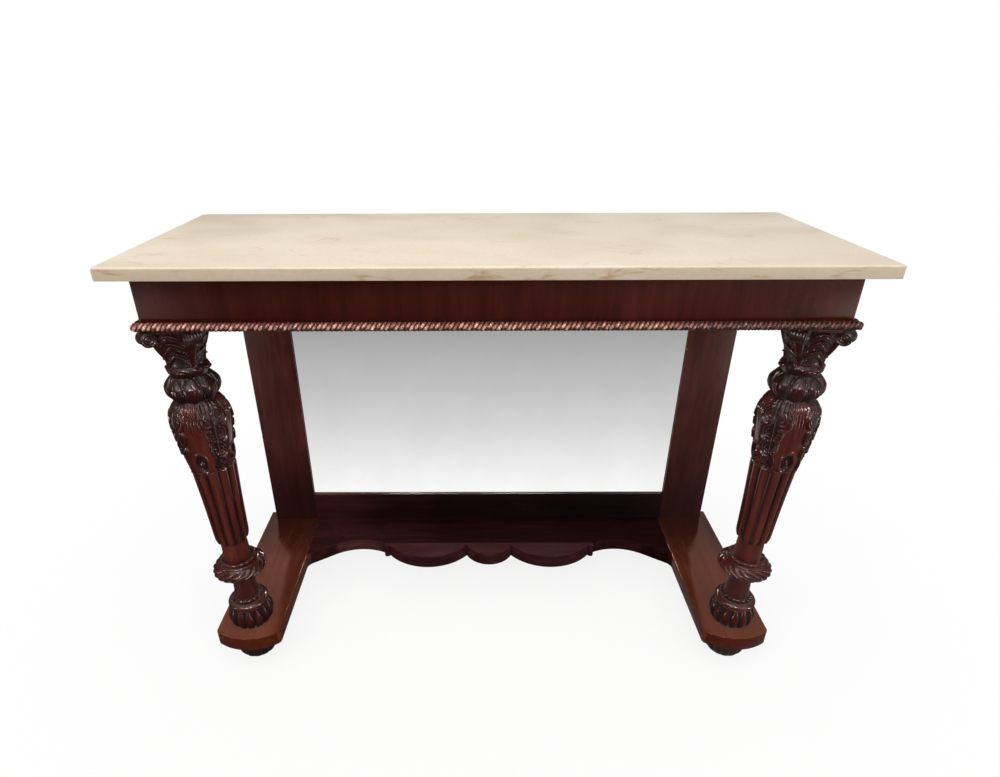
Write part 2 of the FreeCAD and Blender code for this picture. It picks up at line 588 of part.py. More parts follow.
def volute(name, angle):
    """Scroll at one corner of the capital, with the stem that carries it up from the neck."""
    reach, radius, width, stem, neck, lap = (value("dims." + size) for size in (
        "voluteReach", "voluteRadius", "voluteWidth", "voluteStem", "neckRadius", "voluteLap"))
    axisZ, neckZ = value(abacusFoot) + lap - radius, value(neckFoot)
    roll = Part.makeCylinder(radius, width, FreeCAD.Vector(reach, -width / 2, axisZ), FreeCAD.Vector(0, 1, 0))
    meeting = math.radians(value("dims.voluteMeeting"))
    side = [(neck / 2, neckZ), (neck, neckZ),
            (reach + radius * math.cos(meeting), axisZ + radius * math.sin(meeting)),
            (reach, axisZ), (neck / 2, axisZ)]
    plate = Part.Face(Part.makePolygon([FreeCAD.Vector(x, -stem / 2, z) for x, z in side + side[:1]]))
    solid = doc.addObject("Part::Feature", name)
    solid.Shape = roll.fuse(plate.extrude(FreeCAD.Vector(0, stem, 0)))
    solid.Placement.Rotation = FreeCAD.Rotation(FreeCAD.Vector(0, 0, 1), angle)
    return solid


volutes = [volute(f"volute_{number}", 45 + 90 * number) for number in range(4)]
upright = join("leg_upright", core, bun, collar, taper, vase, bulb, abacus, *volutes)
lean = f"atan(({legHeadX} - {legFootX}) / ({friezeFoot} - {plinthTop}))"
upright.Placement = FreeCAD.Placement(FreeCAD.Vector(), FreeCAD.Rotation(FreeCAD.Vector(0, 1, 0), 1))
upright.setExpression("Placement.Rotation.Angle", lean)
place(upright, f"{legFootX} - {plinthTop} * sin({lean})", legY, f"{plinthTop} * (1 - cos({lean}))")

trimmed = doc.addObject("Part::Common", "leg_trimmed")
trimmed.Base = upright
trimmed.Tool = block("leg_space", ("0", "dims.topWidth"), (minus(backFace), backFace),
                     (plinthTop, friezeFoot))
topPin = rod("top_pin", "dims.pinRadius", "dims.topPinLength", legHeadX, legY, friezeFoot)
lowPin = rod("low_pin", "dims.footPinRadius", "dims.footPinLength", legFootX, legY,
             f"{plinthTop} - dims.footPinLength")
leg = keep("leg_right", join("leg", trimmed, topPin, lowPin))
keep("leg_left", mirrored("leg_other", leg))

# feet --------------------------------------------------------------------------------------------

footRings = ((0, 0.86), (0.3, 0.99), (0.55, 1), (0.85, 0.84), (1, 0.78))
footCarving = carved("foot_carving", "0", "dims.footHeight", "dims.footGadroons", 3, "dims.footRadius",
                     "dims.footGroove", footRings)
footCarving.Placement.Base = FreeCAD.Vector(value(legFootX), value(legY), 0)
footPin = rod("foot_pin", "dims.footPinRadius", "dims.footPinLength", legFootX, legY, "dims.footHeight")
frontFoot = keep("front_foot_right", join("front_foot", footCarving, footPin))
keep("front_foot_left", mirrored("front_foot_other", frontFoot))

rearRings = ((0, 0.8), (0.3, 1), (0.6, 1), (1, 0.8))
rearCarving = carved("rear_carving", "0", "dims.footHeight", "dims.rearFootSides", 1, "dims.rearFootRadius",
                     "0", rearRings)
rearCarving.Placement.Base = FreeCAD.Vector(value(rearX), value(rearY), 0)
rearPin = rod("rear_pin", "dims.footPinRadius", "dims.footPinLength", rearX, rearY, "dims.footHeight")
rearFoot = keep("rear_foot_right", join("rear_foot", rearCarving, rearPin))
keep("rear_foot_left", mirrored("rear_foot_other", rearFoot))

# check and export --------------------------------------------------------------------------------

doc.recompute()
for item in doc.Objects:
    if any(word in item.State for word in ("Invalid", "Error")):
        raise SystemExit(f"{item.Label} failed: {item.State}")
os.makedirs("parts", exist_ok=True)
for name, item in nodes.items():
    shape = item.Shape
    if shape.isNull() or not shape.isValid() or shape.Volume <= 0:
        raise SystemExit(f"{name} has no valid solid")
    shape.exportStep(f"parts/{name}.step")
    print(f"{name}: {len(shape.Solids)} solid(s), {shape.Volume / 1000:.1f} cm3")
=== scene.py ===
import math

import bpy
import numpy as np
from mathutils import Matrix, Vector


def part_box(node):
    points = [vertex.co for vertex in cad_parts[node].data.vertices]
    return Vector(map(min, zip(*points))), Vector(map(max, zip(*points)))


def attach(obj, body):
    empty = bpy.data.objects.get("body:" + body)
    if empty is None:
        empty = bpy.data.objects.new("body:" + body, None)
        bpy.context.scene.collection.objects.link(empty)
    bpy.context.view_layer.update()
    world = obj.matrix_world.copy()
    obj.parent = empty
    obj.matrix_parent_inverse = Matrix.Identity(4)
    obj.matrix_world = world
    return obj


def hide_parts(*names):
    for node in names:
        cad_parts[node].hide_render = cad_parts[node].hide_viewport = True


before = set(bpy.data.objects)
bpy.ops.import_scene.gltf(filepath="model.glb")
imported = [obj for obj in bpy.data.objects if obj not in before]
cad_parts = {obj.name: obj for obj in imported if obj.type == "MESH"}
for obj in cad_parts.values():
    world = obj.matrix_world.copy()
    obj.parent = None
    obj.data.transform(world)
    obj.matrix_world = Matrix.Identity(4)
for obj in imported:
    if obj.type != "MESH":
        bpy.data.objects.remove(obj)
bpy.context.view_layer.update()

mm = 0.001
weldGap = 0.00002
fullTurn, quarterTurn = 2 * math.pi, math.pi / 2
print("pier table: frame loaded")


# selection, meshes and modifiers

def bare():
    if bpy.context.object and bpy.context.object.mode != "OBJECT":
        bpy.ops.object.mode_set(mode="OBJECT")
    bpy.ops.object.select_all(action="DESELECT")


def pick(piece):
    bare()
    piece.select_set(True)
    bpy.context.view_layer.objects.active = piece


def openMesh(piece):
    # edit mode with the whole mesh selected
    pick(piece)
    bpy.ops.object.mode_set(mode="EDIT")
    bpy.ops.mesh.select_all(action="SELECT")


def closeMesh():
    bpy.ops.object.mode_set(mode="OBJECT")


def easeEdges(piece, width):
    # every sharp edge gets a small round of three faces
    bevel = piece.modifiers.new("edge", "BEVEL")
    bevel.width, bevel.segments = width * mm, 3
    bevel.limit_method, bevel.angle_limit = "ANGLE", math.radians(35)
    pick(piece)
    bpy.ops.object.modifier_apply(modifier=bevel.name)


def newPiece(name, verts, faces=(), edges=()):
    mesh = bpy.data.meshes.new(name)
    mesh.from_pydata([tuple(v) for v in verts], [tuple(e) for e in edges], [tuple(f) for f in faces])
    piece = bpy.data.objects.new(name, mesh)
    bpy.context.scene.collection.objects.link(piece)
    return piece


def weld(piece):
    openMesh(piece)
    bpy.ops.mesh.remove_doubles(threshold=weldGap)
    bpy.ops.mesh.normals_make_consistent(inside=False)
    closeMesh()


def points(piece):
    spots = np.zeros(len(piece.data.vertices) * 3, np.float32)
    piece.data.vertices.foreach_get("co", spots)
    return spots.reshape(-1, 3).astype(float)


def movePoints(piece, spots):
    piece.data.vertices.foreach_set("co", spots.astype(np.float32).ravel())
    piece.data.update()


def markPoints(piece, name, shares):
    layer = piece.data.attributes.new(name, "FLOAT", "POINT")
    layer.data.foreach_set("value", np.clip(shares, 0, 1).astype(np.float32).ravel())


def soften(piece, degrees):
    pick(piece)
    bpy.ops.object.shade_smooth_by_angle(angle=math.radians(degrees))


def shift(piece, x, y, z):
    piece.data.transform(Matrix.Translation((x, y, z)))


def copyOf(piece, name):
    twin = bpy.data.objects.new(name, piece.data.copy())
    bpy.context.scene.collection.objects.link(twin)
    return twin


def otherSide(piece, name):
    twin = copyOf(piece, name)
    twin.data.transform(Matrix.Diagonal((-1, 1, 1, 1)))
    twin.data.flip_normals()
    return twin


def settle(piece, slot, *nodes):
    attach(piece, "root")
    if nodes:
        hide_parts(*nodes)


# shapes of carving: distances in millimetres, angles in radians, all on whole arrays

def fold(x, step):
    return (x + step / 2) % step - step / 2


def ramp(x, low, high):
    t = np.clip((x - low) / (high - low), 0, 1)
    return t * t * (3 - 2 * t)


def crown(q):
    return np.sqrt(np.clip(1 - q * q, 0, 1))


def ridge(x, width):
    return np.exp(-(x / width) ** 2)


def flow(stops, at):
    # smooth line through (place, reach) pairs that never overshoots them
    place, reach = np.array(stops, float).T
    gap = np.diff(place)
    slope = np.diff(reach) / gap
    lean = np.zeros(len(place))
    both = slope[1:] * slope[:-1]
    total = slope[1:] + slope[:-1]
    lean[1:-1] = np.where(both > 0, 2 * both / np.where(total == 0, 1, total), 0)
    lean[0], lean[-1] = slope[0], slope[-1]
    k = np.clip(np.searchsorted(place, at) - 1, 0, len(gap) - 1)
    t = np.clip((at - place[k]) / gap[k], 0, 1)
    return ((1 + 2 * t) * (1 - t) ** 2 * reach[k] + t * (1 - t) ** 2 * gap[k] * lean[k]
            + t * t * (3 - 2 * t) * reach[k + 1] + t * t * (t - 1) * gap[k] * lean[k + 1])


def bend(start, middle, end):
    runs = 8  # straight runs in the curve
    line = []
    for k in range(runs + 1):
        t = k / runs
        line.append(tuple((1 - t) ** 2 * a + 2 * t * (1 - t) * b + t * t * c
                          for a, b, c in zip(start, middle, end)))
    return line


def frond(u, v, path, wide):
    # share of the half width from a curved centre line, and how far along it
    near, along = np.full(u.shape, 9.0), np.zeros(u.shape)
    count = len(path) - 1
    for k in range(count):
        (u0, v0), (u1, v1) = path[k], path[k + 1]
        du, dv = u1 - u0, v1 - v0
        t = np.clip(((u - u0) * du + (v - v0) * dv) / (du * du + dv * dv), 0, 1)
        share = (k + t) / count
        width = wide[0] + (wide[1] - wide[0]) * share
        q = np.hypot(u - u0 - t * du, v - v0 - t * dv) / width
        closer = q < near
        near, along = np.where(closer, q, near), np.where(closer, share, along)
    return near, along


def claw(u, v, place, size, lean):
    # distance from the middle of one lobe of a leaf, 1 at its rim, and the direction from there
    c, s = math.cos(lean), math.sin(lean)
    du, dv = u - place[0], v - place[1]
    x, y = (c * du + s * dv) / size[0], (c * dv - s * du) / size[1]
    return np.hypot(x, y), np.arctan2(y, x)


def turned(name, outline, sides, cutter=None):
    # outline of (radius, height) from the foot up, spun about the leg's axis and then carved
    piece = newPiece(name, [(r * mm, 0, z * mm) for r, z in outline],
                     edges=[(k, k + 1) for k in range(len(outline) - 1)])
    openMesh(piece)
    bpy.ops.mesh.spin(steps=sides, angle=fullTurn, center=(0, 0, 0), axis=(0, 0, 1))
    closeMesh()
    if cutter:
        spots = points(piece) / mm
        reach, angle = np.hypot(spots[:, 0], spots[:, 1]), np.arctan2(spots[:, 1], spots[:, 0])
        offAxis = (reach > 0.5)[:, None]  # the poles stay where they are
        deeper, height, painted_shade_and_wear = cutter(angle, spots[:, 2], reach)
        carved = np.stack([deeper * np.cos(angle), deeper * np.sin(angle), height], -1)
        movePoints(piece, np.where(offAxis, carved, spots) * mm)
        # painted shade and highlights of the carving, with some wear, go onto the points
        markPoints(piece, "painted_shade_and_wear", painted_shade_and_wear)
    weld(piece)
    return piece


def turnedLength(name, facts, cutter=None):
    # a length between two heights, closed at both ends, with rows of points this far apart
    low, high = facts["foot"], facts["head"]
    heights = np.linspace(low, high, max(2, int(round((high - low) / facts["row"])) + 1))
    rows = [(float(r), float(z)) for r, z in zip(flow(facts["stops"], heights), heights)]
    return turned(name, [(0, low)] + rows + [(0, high)], facts["sides"], cutter)


# carved legs, worked upright as the left one and then leaned
# a cutter takes angle, height and radius, and gives the new radius, the new height and the painted shade and
# wear: painted shade in the hollows, painted highlights on the crests, redder wear on the plain parts

leg = {"footX": 569.5, "headX": 589, "y": -166.5, "foot": 94.4, "head": 827, "smooth": 50}

bun = {"foot": 92, "head": 147, "row": 0.9, "sides": 360, "gadroons": 14, "deep": 8, "belly": 114,
       "stops": [(94.4, 43), (98, 46), (104, 48.8), (114, 50.5), (123, 50), (132, 47.6), (140, 44.2),
                 (147, 41)]}


def bunCut(a, z, r):
    half = math.pi / bun["gadroons"]
    across = fold(a, 2 * half) / half
    above = 1 - 0.45 * ramp(z, 120, 146)  # the gadroons narrow towards the neck
    below = 1 - 0.22 * np.clip((bun["belly"] - z) / 20, 0, 1) ** 2.5  # and a little under the belly
    lobe = crown(across / np.where(z > bun["belly"], above, below))
    deep = bun["deep"] * ramp(z, 92, 99)
    # a small dart stands in each gap
    dart = 2.0 * ridge(1 - np.abs(across), 0.14) * ramp(z, 124, 134) * (1 - ramp(z, 138, 144))
    # painted shade in the gaps and towards the foot, painted highlight on the gadroons' tops
    painted_shade_and_wear = 0.03 + 0.47 * lobe ** 3 * (0.3 + 0.7 * ramp(z, 98, 126))
    return flow(bun["stops"], z) - deep * (1 - lobe) + dart, z, painted_shade_and_wear


ring = {"sides": 160,
        "outline": [(0, 143), (38.5, 143), (42.2, 144.6), (44.2, 147.2), (45, 150.5), (44.8, 153.6),
                    (43.4, 156.4), (41, 158.6), (37.8, 159.8), (30, 160.2), (0, 160.2)]}
beads = {"count": 18, "ring": 29.5, "size": 5.4, "margin": 1, "height": 164, "rows": 17, "sides": 360}


def beadCut(a, z, r):
    half, size = math.pi / beads["count"], beads["size"]
    ball = crown(np.hypot(fold(a, 2 * half) / half * 0.94, (z - beads["height"]) / (size + 0.6)))
    shallow = 0.45 * size
    # painted highlight on each bead, painted shade between them
    return beads["ring"] + shallow + (size - shallow) * ball, z, 0.3 + 0.25 * ball


ankle = {"foot": 160, "head": 236, "row": 2.5, "sides": 128,
         "stops": [(160, 28), (168, 27.4), (178, 26.2), (192, 25.1), (206, 24.4), (220, 24.2), (228, 26),
                   (236, 32)]}

collar = {"foot": 230, "head": 266.5, "rows": 48, "sides": 384, "core": 27, "inner": 38,
          "strands": 16, "turns": 3.4, "turnHeight": 37, "deep": 5.5, "scallops": 20, "scallopHeight": 277.5,
          "stops": [(230, 30), (233, 36), (237.5, 46), (243, 54), (249.5, 57.9), (255.5, 57.6), (261, 53),
                    (266.5, 46)],
          "lip": [(45.4, 267.2), (45.9, 268.6), (45.2, 270.4), (43.4, 271.9), (41, 272.7), (39.6, 273.2),
                  (39.4, 274.2), (39.9, 275.6), (39.6, 277.2), (38.4, 278.7), (36.6, 279.4), (34.6, 279.2),
                  (32.8, 277.8), (31.4, 275.4), (30, 272.5), (28, 271), (0, 271)]}


def collarCut(a, z, r):
    low, head = collar["foot"], collar["head"]
    onRope = (r > collar["inner"]) & (z < head)
    twist = fullTurn * collar["turns"] * (z - low) / collar["turnHeight"]
    lobe = crown(fold(collar["strands"] * a - twist, fullTurn) / math.pi * 0.97)
    fade = ramp(z, low + 2, low + 12) * (1 - ramp(z, head - 4.5, head - 0.5))  # cuts run out at both ends
    reach = np.where(onRope, r - collar["deep"] * fade * (1 - lobe), r)
    # painted shade between the strands and towards the foot, painted highlight on their crests
    painted_shade_and_wear = np.where(onRope, 0.06 + 0.6 * lobe ** 2, 0.5)
    scallop = 0.6 * (ridge(z - collar["scallopHeight"], 2.2) * np.cos(collar["scallops"] * a))
    return reach + scallop, z + scallop, painted_shade_and_wear * (0.5 + 0.5 * ramp(z, low + 8, low + 22))


reeds = {"foot": 268, "head": 523, "row": 1.8, "sides": 288, "count": 12,
         "stem": 322, "tip": 326, "full": 344,  # heights where the stem ends and the reeds begin and are full
         "stops": [(268, 28.6), (300, 28.4), (322, 27.9), (330, 31), (345, 35), (430, 39), (523, 44.5)],
         "valleys": [(322, 27.9), (335, 28.6), (350, 30), (400, 31.4), (515, 37)],
         "crests": [(322, 29), (330, 33.2), (345, 36.8), (370, 37.8), (430, 40.2), (515, 45)]}


def reedCut(a, z, r):
    half = math.pi / reeds["count"]
    stem, tip, full = reeds["stem"], reeds["tip"], reeds["full"]
    across = fold(a - half, 2 * half) / half
    width = np.where(z < full, np.sqrt(np.clip(1 - ((full - z) / (full - tip)) ** 2, 0.0004, 1)), 1)
    lobe = np.where(z > tip, crown(np.abs(across / width)), 0)
    valley, crest = flow(reeds["valleys"], z), flow(reeds["crests"], z)
    reach = np.where(z < stem, r, valley + (crest - valley) * lobe * ramp(z, tip - 8, tip))
    # painted shade in the grooves, painted highlight on the reeds' crests
    return reach, z, np.where(z < tip, 0.9, 0.04 + 0.86 * lobe ** 2)


vase = {"foot": 517, "head": 678, "row": 0.9, "sides": 400,
        "stops": [(515, 43.8), (525, 45.8), (540, 50), (555, 51.4), (570, 52), (585, 53.8), (600, 55.3),
                  (615, 56.7), (630, 58.2), (645, 56.8), (658, 52.8), (668, 48.2), (678, 40)],
        "radius": 55,  # turns angles into widths
        "grooves": (-6.2, 0, 6.2),
        "archHeight": 546, "archSize": (13.5, 22), "dropHeight": 543, "dropSize": (5.4, 10),
        # heights and widths of the leaf's right and left edge
        "right": ((520, 532, 560, 600, 640, 668), (6, 13, 15, 15, 17, 26)),
        "left": ((520, 532, 560, 600, 612, 640, 668), (6, 12, 10, 9, 14, 22, 27)),
        # place, size and lean of each lobe, painted from the leaf's tip upwards
        "lobes": [((0, 540), (15, 20), 0), ((5, 574), (18, 21), 0.15), ((-6, 580), (11, 18), 0),
                  ((8, 610), (21, 24), 0.25), ((-7, 612), (13, 20), 0), ((-10, 645), (20, 30), -0.15),
                  ((12, 648), (20, 26), 0.3)],
        "eyes": ((-6, 531), (6, 531), (0, 552), (10, 590), (12, 626), (-7, 620))}


def leafCut(a, z, r):
    # painted shade in the frame, grooves and eyes, painted highlight on the lobes' rims and curls
    relief, painted_shade_and_wear = np.full(z.shape, -4.2), np.full(z.shape, 0.75)
    face = fold(a + quarterTurn, quarterTurn) * vase["radius"]
    relief = relief + 1.6 * (1 - ramp(np.abs(face), 8, 24)) * ramp(z, 560, 600)
    for spot in vase["grooves"]:
        groove = ridge(face - spot, 1.25) * ramp(z, 600 + 3 * abs(spot), 635) * (1 - ramp(z, 655, 662))
        relief, painted_shade_and_wear = relief - 2.2 * groove, painted_shade_and_wear - 0.5 * groove
    # arched frame with a drop at the foot of each tongue
    wide, tall = vase["archSize"]
    rho = np.hypot(face / wide, (z - vase["archHeight"]) / tall)
    relief = relief + 2.2 * ridge(rho - 1.16, 0.14) - 5.2 * (1 - ramp(rho, 0.72, 0.98))
    painted_shade_and_wear = np.where(rho < 1, 0.1, painted_shade_and_wear)
    wide, tall = vase["dropSize"]
    drop = crown(np.hypot(face / wide, (z - vase["dropHeight"]) / tall))
    relief, painted_shade_and_wear = relief + 6.5 * drop, np.where(drop > 0, 0.42, painted_shade_and_wear)
    # the leaf over the corner between two tongues
    u = fold(a + math.pi / 4, quarterTurn) * vase["radius"]
    span = np.where(u > 0, np.interp(z, *vase["right"]), np.interp(z, *vase["left"]))
    body = (1 - ramp(np.abs(u), span - 2, span + 1.5)) * ramp(z, 519, 526)
    relief = relief + (-1.2 - relief) * body
    painted_shade_and_wear = painted_shade_and_wear + (0.3 - painted_shade_and_wear) * body
    for place, size, lean in vase["lobes"]:
        rho, turn = claw(u, z, place, size, lean)
        inside = 1 - ramp(rho, 0.97, 1.08)
        side = 1 if place[0] >= 0 else -1
        low = 0.12 + 0.88 * ramp(side * np.cos(turn) - 0.6 * np.sin(turn), -0.25, 0.95)
        rim = ridge(rho - 0.86, 0.12) * low
        curls = 0.5 + 0.5 * np.cos(fullTurn * (rho - 0.86) / 0.3)
        shape = -2.4 + 2.2 * rho ** 2 * low + 1.6 * rim + 2.1 * curls * low * ramp(rho, 0.08, 0.3)
        relief = relief + (shape - relief) * inside
        painted_shade_and_wear = painted_shade_and_wear + (0.1 + 0.3 * curls * low + 0.3 * rim - painted_shade_and_wear) * inside
    vein = ridge(u + 1.0, 2.0) * ramp(z, 545, 560) * (1 - ramp(z, 652, 664))
    relief, painted_shade_and_wear = relief + 2.4 * vein, painted_shade_and_wear + 0.12 * vein
    for across, height in vase["eyes"]:
        eye = ridge(np.hypot(u - across, (z - height) * 0.8), 2.3)
        relief, painted_shade_and_wear = relief - 3.4 * eye, painted_shade_and_wear - 0.2 * eye
    fringe = ramp(z, 652, 662) * (1 - ramp(z, 670, 677))
    relief = relief + fringe * (1.1 * np.cos(fullTurn * face / 8.4) + 0.6)
    return flow(vase["stops"], z) + relief, z, painted_shade_and_wear


bulb = {"foot": 673, "head": 734, "row": 0.85, "sides": 384,
        "stops": [(672, 40), (676, 41.5), (684, 45.8), (692, 49.8), (700, 51.5), (708, 51.2), (716, 47.6),
                  (724, 42.5), (734, 36.5)],
        "radius": 49, "petalHeight": 701, "petalSize": (16.5, 27)}


def bulbCut(a, z, r):
    eighth = math.pi / 4
    p = fold(a - eighth / 2, eighth) * bulb["radius"]
    q = fold(a, eighth) * bulb["radius"]
    spread = np.clip((z - 692) * 0.2, 0, 9)  # the stems between the petals fork upwards
    stem = ridge(np.abs(q) - spread, 1.7) * ramp(z, 676, 684) * (1 - ramp(z, 722, 730))
    relief = -6.5 + 4.2 * stem
    wide, tall = bulb["petalSize"]
    rho = np.hypot(p / wide, (z - bulb["petalHeight"]) / tall)
    inside = 1 - ramp(rho, 0.95, 1.04)
    dome = crown(rho * 0.96)
    crease = ridge(p - 4 * np.sin((z - 690) / 9), 1.6) * (1 - ramp(rho, 0.5, 0.8))
    shape = -4.6 + 5.2 * dome - 0.9 * crease
    relief = relief + (shape - relief) * inside
    # painted shade between the petals, painted highlight on their domes
    painted_shade_and_wear = 0.03 + 0.2 * stem + (0.3 * dome ** 3 - 0.08 * crease) * inside
    return flow(bulb["stops"], z) + relief, z, painted_shade_and_wear


neck = {"foot": 728, "head": 750, "row": 1.1, "sides": 256, "waves": 16, "crest": 741,
        "stops": [(728, 34), (733, 36.4), (738, 38.6), (742, 38.9), (746, 37), (750, 33.5)]}


def neckCut(a, z, r):
    wave = ridge(z - neck["crest"], 4.5) * np.cos(neck["waves"] * a)
    # painted highlight on the waves' crests, painted shade between
    return r + 0.9 * wave, z, 0.2 + 0.12 * wave


bell = {"foot": 744, "head": 825, "row": 0.9, "sides": 384,
        "stops": [(744, 33), (756, 31.5), (770, 33), (785, 36), (800, 40.5), (812, 45), (825, 48)],
        "ribStops": [(744, 35), (756, 34), (764, 37), (772, 42), (782, 47), (794, 52), (806, 56.5),
                     (825, 59)],
        "radius": 42, "corner": 33,  # half the width of a side, where the ribs stand
        # start, middle and end of each frond's centre line, and its half widths
        "fronds": [((31, 750), (22, 768), (3, 776), (4.5, 7.0)),
                   ((30, 764), (23, 786), (2, 797), (4.5, 7.5)),
                   ((28, 786), (20, 806), (3, 814), (4.5, 7.0))],
        "berries": ((17, 762), (20, 780), (21, 796), (9, 785)), "berryRadius": 2.8}


def bellCut(a, z, r):
    w = np.abs(fold(a + quarterTurn, quarterTurn) * bell["radius"])
    # painted highlight on the fronds' rims and the berries, painted shade on the ground between
    relief, painted_shade_and_wear = np.zeros(z.shape), np.full(z.shape, 0.08)
    for start, middle, end, wide in bell["fronds"]:
        q, along = frond(w, z, bend(start, middle, end), wide)
        leaf = (3.5 + 4.0 * along) * (0.35 + 0.65 * crown(q))
        shape = leaf + 1.2 * ridge(q - 0.72, 0.16) - 1.3 * ridge(q, 0.2)
        inside = 1 - ramp(q, 0.92, 1.04)
        relief = relief + (shape - relief) * inside
        painted_shade_and_wear = painted_shade_and_wear + (0.12 + 0.22 * ridge(q - 0.7, 0.25) - painted_shade_and_wear) * inside
    for across, height in bell["berries"]:
        ball = crown(np.hypot(w - across, z - height) / bell["berryRadius"])
        relief, painted_shade_and_wear = relief + 2.5 * ball, painted_shade_and_wear + 0.2 * ball
    reach = flow(bell["stops"], z) + relief
    aside = bell["corner"] - w
    rib = 1 - ramp(aside, 5.0, 8.0)
    crest = flow(bell["ribStops"], z) - 1.2 * (1 - crown(aside / 8.5)) * 4
    reach = np.where(crest * rib > reach, crest, np.maximum(reach, reach + (crest - reach) * rib))
    return reach, z, np.where(rib > 0.5, 0.3, painted_shade_and_wear)


scroll = {"radius": 14, "width": 28, "reach": 59.5, "height": 812.4, "sides": 72, "edge": 0.8,
          "endRows": 24, "sideRows": 28, "coil": 5.2, "ripple": 5.6}


def scrollCut(a, z, r):
    size, half = scroll["radius"], scroll["width"] / 2
    onEnd = np.abs(z) > half - 0.6
    coil = np.cos(fullTurn * (r / scroll["coil"] - a * np.sign(z) / fullTurn))
    rim = 1 - ramp(r, size - 2.2, size - 0.8)
    dip = np.where(onEnd, 1.5 * (0.5 - 0.5 * coil) * ramp(r, 1.5, 3.5) * rim, 0)
    waist = np.where(onEnd, 0, 1.6 * (1 - (z / half) ** 2) + 0.5 * np.cos(fullTurn * z / scroll["ripple"]))
    # painted shade in the coil's grooves
    return r - waist, z - np.sign(z) * dip, np.where(onEnd, 0.22 - 0.12 * dip, 0.14)


curl = {"size": (6, 9.5, 4.6), "reach": 38.5, "height": 741, "segments": 24, "rings": 14, "painted_shade_and_wear": 0.4,
        "smooth": 60}
abacus = {"half": 48, "middle": 824.6, "thick": 4.6, "edge": 1.2, "smooth": 40}


def makeLeg():
    size, mid = beads["size"] + beads["margin"], beads["height"]
    band = [(beads["ring"], z) for z in np.linspace(mid - size, mid + size, beads["rows"])]
    low = collar["foot"]
    heights = np.linspace(low, collar["head"], collar["rows"])
    belly = [(float(r), float(z)) for r, z in zip(flow(collar["stops"], heights), heights)]
    pieces = {
        "bun": turnedLength("bun", bun, bunCut),
        "ring": turned("ring", ring["outline"], ring["sides"]),
        "bead_ring": turned("beads", [(0, mid - size)] + band + [(0, mid + size)], beads["sides"], beadCut),
        "ankle": turnedLength("ankle", ankle),
        "rope_collar": turned("collar", [(0, low), (collar["core"], low)] + belly + collar["lip"],
                              collar["sides"], collarCut),
        "reeded_taper": turnedLength("reeds", reeds, reedCut),
        "leafy_vase": turnedLength("vase", vase, leafCut),
        "petal_bulb": turnedLength("bulb", bulb, bulbCut),
        "neck": turnedLength("neck", neck, neckCut),
        "bell": turnedLength("bell", bell, bellCut)}
    for piece in pieces.values():
        soften(piece, leg["smooth"])

    # scrolls at the corners of the capital
    half, size, edge = scroll["width"] / 2, scroll["radius"], scroll["edge"]
    rows = [(r, -half) for r in np.linspace(0, size - edge, scroll["endRows"])]
    rows += [(size, z) for z in np.linspace(-half + edge, half - edge, scroll["sideRows"])]
    rows += [(r, half) for r in np.linspace(size - edge, 0, scroll["endRows"])]
    coil = turned("scroll", rows, scroll["sides"], scrollCut)
    soften(coil, leg["smooth"])
    place = Matrix.Translation((scroll["reach"] * mm, 0, scroll["height"] * mm))
    lying = Matrix.Rotation(-quarterTurn, 4, "X")
    for k, letter in enumerate("abcd"):
        roll = copyOf(coil, f"scroll{k}")
        roll.data.transform(Matrix.Rotation(math.pi / 4 + k * quarterTurn, 4, "Z") @ place @ lying)
        pieces[f"scroll_{letter}"] = roll
    bpy.data.objects.remove(coil)

    # curled tips round the neck
    bpy.ops.mesh.primitive_uv_sphere_add(segments=curl["segments"], ring_count=curl["rings"], radius=1)
    tip = bpy.context.object
    tip.data.transform(Matrix.Diagonal((*(entry * mm for entry in curl["size"]), 1)))
    markPoints(tip, "painted_shade_and_wear", np.full(len(tip.data.vertices), curl["painted_shade_and_wear"]))
    place = Matrix.Translation((curl["reach"] * mm, 0, curl["height"] * mm))
    for k, letter in enumerate("abcd"):
        twin = copyOf(tip, f"curl{k}")
        twin.data.transform(Matrix.Rotation(k * quarterTurn, 4, "Z") @ place)
        soften(twin, curl["smooth"])
        pieces[f"curl_{letter}"] = twin
    bpy.data.objects.remove(tip)

    # thin square abacus
    bare()
    bpy.ops.mesh.primitive_cube_add(size=1)
    plate = bpy.context.object
    wide = 2 * abacus["half"] * mm
    plate.data.transform(Matrix.Translation((0, 0, abacus["middle"] * mm))
                         @ Matrix.Diagonal((wide, wide, abacus["thick"] * mm, 1)))
    easeEdges(plate, abacus["edge"])
    soften(plate, abacus["smooth"])
    pieces["abacus"] = plate
    return pieces


lean = math.atan2(leg["headX"] - leg["footX"], leg["head"] - leg["foot"])
stand = (Matrix.Translation((-(leg["footX"] - leg["foot"] * math.sin(lean)) * mm, leg["y"] * mm,
                             leg["foot"] * (1 - math.cos(lean)) * mm)) @ Matrix.Rotation(-lean, 4, "Y"))
legPieces = {"left": {}, "right": {}}
for name, piece in makeLeg().items():
    piece.data.transform(stand)
    piece.name = f"leg_left_{name}"
    legPieces["left"][name] = piece
    legPieces["right"][name] = otherSide(piece, f"leg_right_{name}")
print("legs carved:", sum(len(p.data.polygons) for p in legPieces["left"].values()), "faces each")


# feet under the plinth

gadroonFoot = {"foot": 0, "head": 59.4, "row": 1.5, "sides": 280, "gadroons": 14, "deep": 5.5,
               "stops": [(0, 40), (4, 43), (16, 47.6), (30, 48.9), (44, 44), (52, 40), (59.4, 38)]}
plainFoot = {"foot": 0, "head": 59.4, "row": 2.5, "sides": 72,
             "stops": [(0, 26), (4, 28.5), (16, 33.2), (32, 33.6), (46, 30), (59.4, 26)]}


